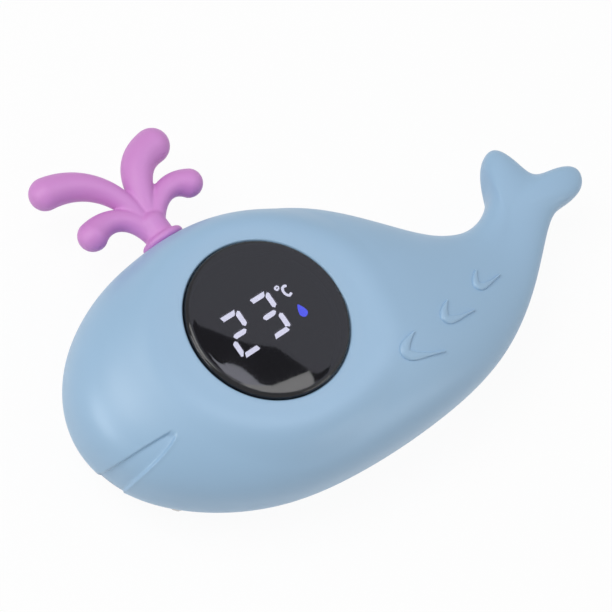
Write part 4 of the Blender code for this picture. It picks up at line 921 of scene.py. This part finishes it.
white_light = lit("segment_lit", (0.80, 0.80, 1.0))
drop_light = lit("drop_lit", (0.07, 0.095, 1.0))
unlit = moulded("segment_unlit", (0.012, 0.012, 0.013), 0.5)
housing_black = moulded("housing_black", (0.012, 0.012, 0.013), 0.5)


def resin(name, along_share, across_share, finish):
    """A CAD resin drawn in from its well's walls: its plan shrinks along and across its length."""
    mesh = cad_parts[name].data
    points = np.empty(len(mesh.vertices) * 3)
    mesh.vertices.foreach_get("co", points)
    points = points.reshape(-1, 3)
    plan = points[:, :2]
    centre = (plan.min(0) + plan.max(0)) / 2
    ways = np.linalg.svd(plan - centre, full_matrices=False)[2]
    local = (plan - centre) @ ways.T * [along_share, across_share]
    drawn = np.column_stack([local @ ways + centre, points[:, 2]])
    faces = np.array([tuple(face.vertices) for face in mesh.polygons])
    made = object_from(f"{name}_resin", [(drawn, faces)])
    paint(made, finish)
    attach(made, "root")
    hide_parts(name)


for digit, letters in LIT.items():
    for letter in "abcdefg":
        name = f"{digit}_segment_{letter}"
        if letter in letters:
            resin(name, BAR_LENGTH, BAR_WIDTH, white_light)
        else:
            paint(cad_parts[name], unlit)
resin("degree_ring", RING_SHARE, RING_SHARE, white_light)
for name, finish in (
    ("celsius_mark", white_light), ("drop_icon", drop_light),
    ("display_housing", housing_black), ("lens_gasket", housing_black),
):
    paint(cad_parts[name], finish)
print("lit segments:", sum(len(letters) for letters in LIT.values()))

# %% [markdown]
# ## The fountain spout
#
# A soft silicone moulding plugs into the top of the head: a plug, a neck, a round flange,
# a stem, and four jets that swell towards their rounded tips. On the real one the jets
# flow into each other with small fillets. Tubes along Bezier curves give the jets, and a
# fine voxel remesh melts them into one skin whose creases a few smoothing steps soften.

# %% Tubes for the jets and a turned stem
JETS = {
    "long_left": ([(-2.6, 35.5), (-1.8, 44.3), (-7.7, 52.0), (-17.7, 52.7)], (2.1, 2.4, 3.2, 3.75)),
    "long_right": ([(-0.5, 35.7), (1.8, 44.6), (3.3, 49.7), (10.6, 50.7)], (1.8, 3.6, 3.9, 4.1)),
    "short_left": ([(-2.2, 33.3), (-4.0, 39.4), (-9.1, 41.5), (-14.2, 39.2)], (2.5, 2.3, 2.3, 3.5)),
    "short_right": ([(-0.4, 34.2), (3.0, 39.7), (8.1, 42.4), (12.6, 39.2)], (2.3, 2.4, 2.4, 3.3)),
}


def jet(points, radii, count=48, steps=60, tips=12):
    """A tube whose radius is itself a Bezier, ended by a quarter round at its tip."""
    share = np.linspace(0, 1, steps)
    line = bezier(np.array(points) * MM, share)
    thick = bezier(radii, share)[:, 0] * MM
    way = np.gradient(line, axis=0)
    way /= np.linalg.norm(way, axis=1)[:, None]
    turn = np.linspace(0, pi / 2, tips + 1)[1:]
    line = np.concatenate([line, line[-1] + way[-1] * (thick[-1] * np.sin(turn))[:, None]])
    way = np.concatenate([way, np.repeat(way[-1:], tips, 0)])
    thick = np.concatenate([thick, thick[-1] * np.cos(turn)])
    across = np.stack([-way[:, 1], way[:, 0]], -1)
    angle = np.linspace(0, 2 * pi, count, endpoint=False)
    plan = line[:, None] + across[:, None] * (thick[:, None] * np.cos(angle))[..., None]
    level = EQUATOR + thick[:, None] * np.sin(angle)
    points = np.concatenate([plan, level[..., None]], -1)
    foot = (points[0], np.arange(count)[None])
    return [(points, grid_faces(len(points), count, closed=True)), foot]


PLUG_RADIUS, PLUG_TIP, PLUG_LENGTH, PLUG_LIP = 3.3 * MM, 1.84 * MM, 4.2 * MM, 0.6 * MM
NECK_RADIUS, FLANGE_RADIUS, FLANGE_ROUND = 2.3 * MM, 5.1 * MM, 1.0 * MM
STEM_TOP, STEM_RADIUS = 35.53 * MM, 3.45 * MM
seat_y = WALL_TOP + GAP
inside_y = WALL_TOP - WALL - GAP
spout_profile = [(0, inside_y - PLUG_LENGTH), (PLUG_TIP, inside_y - PLUG_LENGTH)]
spout_profile += [(PLUG_RADIUS, inside_y - PLUG_LIP), (PLUG_RADIUS, inside_y)]
spout_profile += [(NECK_RADIUS, inside_y), (NECK_RADIUS, seat_y)]
for a in np.linspace(-pi / 2, pi / 2, 13):
    out = FLANGE_RADIUS - FLANGE_ROUND + FLANGE_ROUND * cos(a)
    spout_profile.append((out, seat_y + FLANGE_ROUND + FLANGE_ROUND * sin(a)))
spout_profile.append((STEM_RADIUS, seat_y + 2 * FLANGE_ROUND))
for a in np.linspace(0, pi / 2, 10):
    spout_profile.append((STEM_RADIUS * cos(a), STEM_TOP + 0.6 * STEM_RADIUS * sin(a)))
pieces = [turned("spout_stem", spout_profile, (SPOUT_X, 0), 72, "y", EQUATOR)]
for name, shape in JETS.items():
    pieces.append(object_from(f"jet_{name}", jet(*shape)))
spout = pieces[0]
combine(spout, pieces[1:], "UNION")

# %% Melt the joints of the spout
remesh = spout.modifiers.new("one skin", "REMESH")
remesh.mode, remesh.voxel_size = "VOXEL", 0.28 * MM
soften = spout.modifiers.new("soft creases", "SMOOTH")
soften.factor, soften.iterations = 0.5, 6
bpy.context.view_layer.update()
melted = bpy.data.meshes.new_from_object(spout.evaluated_get(bpy.context.evaluated_depsgraph_get()))
bpy.data.objects.remove(spout)
spout = finish_mesh("spout_skin", melted, angle=60)
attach(spout, "root")
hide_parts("spout")
silicone = moulded("orchid_silicone", (0.650, 0.262, 0.645), 0.48, grain=0.4, depth=0.000012)
paint(spout, silicone)

# %% [markdown]
# ## What stays as the CAD made it
#
# Screws, springs, cells, the board and the seals have the right shape already. Each gets
# a finish that fits how it is made: drawn or turned metal with fine lines along one way,
# rubber with a dull grain, a green board whose copper shows through as paler lanes, a
# sleeve with a printed end band, and a glass bead. They are seen where a screw or the
# probe shows in the back, and when the part is taken apart.

# %% Metal, rubber, board, sleeve and bead


def metal(name, colour, roughness, lines=(1.0, 0.12, 1.0)):
    """Metal whose fine lines run along one axis, from noise stretched that way."""
    finish = Finish(name, colour, Metallic=1.0, Roughness=roughness)
    stretched = finish.node("ShaderNodeVectorMath", finish.place(6.0), lines, operation="MULTIPLY")
    grain = finish.node("ShaderNodeTexNoise", inputs={"Vector": stretched, "Scale": 1.0, "Detail": 2.0})
    dull = tuple(c * 0.86 for c in colour)
    uneven = grain * 0.16 + (roughness - 0.08)
    finish.drive(Base_Color=finish.blend(finish.noise(4.0), dull, colour), Roughness=uneven)
    finish.bumps(grain, 0.000004, 0.5)
    return finish.material


def board():
    """Solder mask over copper: lanes from two square waves, paler and a little raised."""
    finish = Finish("board_mask", (0.03, 0.16, 0.07), Roughness=0.32)
    place = finish.place()
    axes = [finish.node("ShaderNodeSeparateXYZ", place, output=k) for k in (0, 1)]
    patch = finish.noise(7.0).between(0.47, 0.5)
    lanes = [(axis * (2 * pi / 2.4)).math("SINE").between(0.72, 0.8) for axis in axes]
    copper = lanes[0] * patch + lanes[1] * (1 - patch)
    finish.drive(Base_Color=finish.blend(copper, (0.02, 0.13, 0.055), (0.06, 0.26, 0.10)))
    finish.bumps(copper, 0.00003, 0.6)
    return finish.material


def sleeve():
    """A shrunk sleeve: blue, with a paler band round one end and a faint wrinkle."""
    finish = Finish("cell_sleeve", (0.08, 0.20, 0.30), Roughness=0.28)
    x = finish.node("ShaderNodeSeparateXYZ", finish.place(), output=0)
    band = x.between(9.0, 9.3)
    finish.drive(Base_Color=finish.blend(band, (0.06, 0.17, 0.28), (0.62, 0.66, 0.68)))
    finish.bumps(finish.noise(1.4), 0.00004, 0.4)
    return finish.material


steel = metal("stainless_steel", (0.62, 0.61, 0.60), 0.26)
nickel = metal("nickel_plate", (0.66, 0.63, 0.56), 0.32, lines=(0.12, 1.0, 1.0))
rubber = moulded("grey_rubber", (0.30, 0.30, 0.32), 0.7, grain=0.5, depth=0.00002)
chip_black = moulded("chip_epoxy", (0.02, 0.02, 0.022), 0.55, grain=0.15)
bead_glass = moulded("bead_glaze", (0.30, 0.12, 0.03), 0.18, grain=0.8)
FINISHES = [
    (body_plastic, ["battery_door"]),
    (steel, ["shell_screw_", "door_screw", "board_screw_", "probe_cap", "water_contact_"]),
    (nickel, ["battery_spring_", "positive_plate", "negative_plate", "bridge_plate"]),
    (rubber, ["probe_ring", "shell_seal", "door_gasket"]),
    (board(), ["main_board"]),
    (chip_black, ["controller_chip"]),
    (sleeve(), ["battery_cell_"]),
    (bead_glass, ["thermistor"]),
]
dressed = []
for finish, names in FINISHES:
    for name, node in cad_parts.items():
        if any(name.startswith(begin) for begin in names):
            paint(node, finish)
            dressed.append(name)
print(len(dressed), "CAD nodes dressed:", ", ".join(dressed))

# %% [markdown]
# ## Floor, camera and light
#
# The photograph looks down on the display, slightly from the head's side, through a long
# lens. The background is pure white, so the floor and the world show white to the camera
# and to reflections, while the lamps stay at a plain level on the object.

# %% A white floor that keeps a faint shadow
FLOOR = 3.0
floor_mesh = bpy.data.meshes.new("floor")
floor_corners = [(FLOOR * a, FLOOR * b, 0) for a, b in ((-1, -1), (1, -1), (1, 1), (-1, 1))]
floor_mesh.from_pydata(floor_corners, [], [(0, 1, 2, 3)])
floor = bpy.data.objects.new("floor", floor_mesh)
bpy.context.scene.collection.objects.link(floor)


def white_to_camera(tree, plain, out, keep):
    """Mixes a plain shader with white light that only camera, glossy and clear rays meet."""
    path = tree.nodes.new("ShaderNodeLightPath")
    seen = path.outputs["Is Camera Ray"]
    for ray in ("Is Glossy Ray", "Is Transmission Ray"):
        either = tree.nodes.new("ShaderNodeMath")
        either.operation = "MAXIMUM"
        tree.links.new(seen, either.inputs[0])
        tree.links.new(path.outputs[ray], either.inputs[1])
        seen = either.outputs[0]
    share = tree.nodes.new("ShaderNodeMath")
    share.operation = "MULTIPLY"
    share.inputs[1].default_value = 1 - keep
    tree.links.new(seen, share.inputs[0])
    mix = tree.nodes.new("ShaderNodeMixShader")
    on_a_surface = out.bl_idname == "ShaderNodeOutputMaterial"
    white = tree.nodes.new("ShaderNodeEmission" if on_a_surface else "ShaderNodeBackground")
    tree.links.new(share.outputs[0], mix.inputs[0])
    tree.links.new(plain.outputs[0], mix.inputs[1])
    tree.links.new(white.outputs[0], mix.inputs[2])
    tree.links.new(mix.outputs[0], out.inputs[0])


floor_finish = bpy.data.materials.new("white_floor")
floor_finish.use_nodes = True
tree = floor_finish.node_tree
plain = tree.nodes["Principled BSDF"]
plain.inputs["Base Color"].default_value = (0.9, 0.9, 0.9, 1)
plain.inputs["Roughness"].default_value = 0.9
white_to_camera(tree, plain, tree.nodes["Material Output"], 0.06)
floor_mesh.materials.append(floor_finish)

world = bpy.data.worlds.new("studio")
bpy.context.scene.world = world
world.use_nodes = True
tree = world.node_tree
sky = tree.nodes["Background"]
sky.inputs["Color"].default_value = (1.0, 1.0, 1.0, 1)
sky.inputs["Strength"].default_value = 0.42
white_to_camera(tree, sky, tree.nodes["World Output"], 0.0)

# %% The camera, from the photograph's own viewing angle
RIGHT = Vector((0.76228, -0.57870, 0.28990))
UP = Vector((0.44500, 0.79382, 0.41451))
BACK = RIGHT.cross(UP)
PIXELS_PER_MM = 4.66265
DISTANCE = 0.88163
SENSOR = 36.0
LENS_FACE = 33 * MM
centre_x, centre_y, image = 268.56, 317.68, 612
target = Vector((0, 0, LENS_FACE))
target += RIGHT * ((image / 2 - centre_x) / PIXELS_PER_MM * MM)
target += UP * ((centre_y - image / 2) / PIXELS_PER_MM * MM)
camera = bpy.data.objects.new("camera", bpy.data.cameras.new("camera"))
bpy.context.scene.collection.objects.link(camera)
turned_to_view = Matrix((RIGHT, UP, BACK)).transposed().to_4x4()
camera.matrix_world = Matrix.Translation(target + BACK * DISTANCE) @ turned_to_view
camera.data.sensor_width = SENSOR
camera.data.lens = SENSOR * DISTANCE / (image / PIXELS_PER_MM * MM)
camera.data.clip_start, camera.data.clip_end = 0.01, 20.0
bpy.context.scene.camera = camera
print("lens", round(camera.data.lens, 1), "mm on a 36 mm sensor")


# %% Soft lamps
def softbox(name, place, size, watts, aim=(0, 0, 15 * MM)):
    """A square lamp turned to the object."""
    lamp = bpy.data.objects.new(name, bpy.data.lights.new(name, "AREA"))
    lamp.data.shape = "SQUARE"
    lamp.data.size = size
    lamp.data.energy = watts
    lamp.location = place
    way = Vector(aim) - Vector(place)
    lamp.rotation_euler = way.to_track_quat("-Z", "Y").to_euler()
    bpy.context.scene.collection.objects.link(lamp)


softbox("key", (-0.55, 0.35, 1.0), 0.7, 7.0)
softbox("front", (0.8, -0.5, 0.9), 0.9, 1.5)

# %% [markdown]
# ## What the lens mirrors
#
# The photograph's lens shows its studio: a pale wall, a dark one below it, and a lamp in
# the lower left. A mirror only shows what stands where its rays go, so these three cards
# are worked out backwards. Their outlines are drawn on the lens, each point's ray is
# mirrored there, and the card is where those rays meet a plane. Three more give the head
# and the belly their soft highlights. Only glossy rays see the cards, so they throw no
# diffuse light or shadow on the whale and never hide it.

# %% Cards placed by mirrored rays
CARD_DISTANCE = 0.5
DARK_PART = [
    (-17.5, 9.0), (-15, 6.3), (-13, 3.8), (-10.8, 0.7), (-7.9, -2.8), (-5.5, -4.7),
    (-3, -6.6), (-1.8, -9.5), (-0.6, -12.3), (0.6, -15.1), (2.5, -17), (6, -18.5),
    (4, -23), (-10, -23), (-20, -16), (-24, -4), (-23, 8),
]
BRIGHT_PART = [
    (-19.2, -0.1), (-18, -3), (-16.7, -3.8), (-14.9, -3.9), (-13.8, -4.8), (-12.5, -6.6),
    (-11.6, -9.2), (-11.2, -11.6), (-8.7, -14.1), (-5.6, -15.9), (-3.1, -17), (0.1, -17.3),
    (0, -19), (-8, -20.5), (-16, -15), (-21, -7),
]
eye = np.array(camera.matrix_world.translation)


def mirrored(points, distance):
    """Mirrored camera rays, way less twice its part along the normal, met by one plane."""
    plan = np.array(points, float) * MM
    shares = (plan**2).sum(1) / flat**2
    place = np.column_stack([plan, lens_top + LENS_CROWN * (1 - shares)])
    normal = np.column_stack([2 * LENS_CROWN / flat**2 * plan, np.ones(len(plan))])
    normal /= np.linalg.norm(normal, axis=1)[:, None]
    way = place - eye
    way /= np.linalg.norm(way, axis=1)[:, None]
    way -= 2 * (way * normal).sum(1)[:, None] * normal
    axis = np.array([-BACK.x, -BACK.y, BACK.z])
    reach = (distance - (place - [0, 0, lens_top]) @ axis) / (way @ axis)
    return place + way * reach[:, None]


def card(name, corners, strength, colour=(1.0, 1.0, 1.0)):
    """A flat card of even light that only glossy rays see."""
    mesh = bpy.data.meshes.new(name)
    mesh.from_pydata(corners, [], [tuple(range(len(corners)))])
    made = bpy.data.objects.new(name, mesh)
    bpy.context.scene.collection.objects.link(made)
    glow = bpy.data.materials.new(name)
    glow.use_nodes = True
    tree = glow.node_tree
    tree.nodes.remove(tree.nodes["Principled BSDF"])
    light = tree.nodes.new("ShaderNodeEmission")
    light.inputs["Color"].default_value = (*colour, 1.0)
    light.inputs["Strength"].default_value = strength
    tree.links.new(light.outputs[0], tree.nodes["Material Output"].inputs[0])
    mesh.materials.append(glow)
    made.visible_camera = made.visible_diffuse = False
    made.visible_transmission = made.visible_shadow = False


def facing(centre, width, height):
    """Corners of an upright oblong that faces the whale."""
    centre = np.array(centre)
    right = np.cross([0, 0, 1], -centre)
    right /= np.linalg.norm(right)
    up = np.cross(-centre, right)
    up /= np.linalg.norm(up)
    signs = ((-1, -1), (1, -1), (1, 1), (-1, 1))
    return [centre + right * a * width / 2 + up * b * height / 2 for a, b in signs]


WALL_PART = [(70, 70), (-70, 70), (-70, -70), (70, -70)]
card("wall_card", mirrored(WALL_PART, CARD_DISTANCE + 0.04), 1.32, (0.95, 0.97, 1.1))
card("dark_card", mirrored(DARK_PART, CARD_DISTANCE + 0.02), 0.2)
card("bright_card", mirrored(BRIGHT_PART, CARD_DISTANCE), 4.6, (0.95, 0.96, 1.1))
card("side_card", facing((-0.80, 0.24, 0.28), 0.55, 0.30), 5.5)
card("front_card", facing((0.42, -0.76, 0.28), 0.45, 0.2), 4.0)
card("belly_card", facing((0.135, -0.02, 0.43), 0.12, 0.12), 5.0)
print("six cards stand round the whale")

# %% Plain view of the colours
bpy.context.scene.view_settings.view_transform = "Standard"
print("view:", bpy.context.scene.view_settings.view_transform)
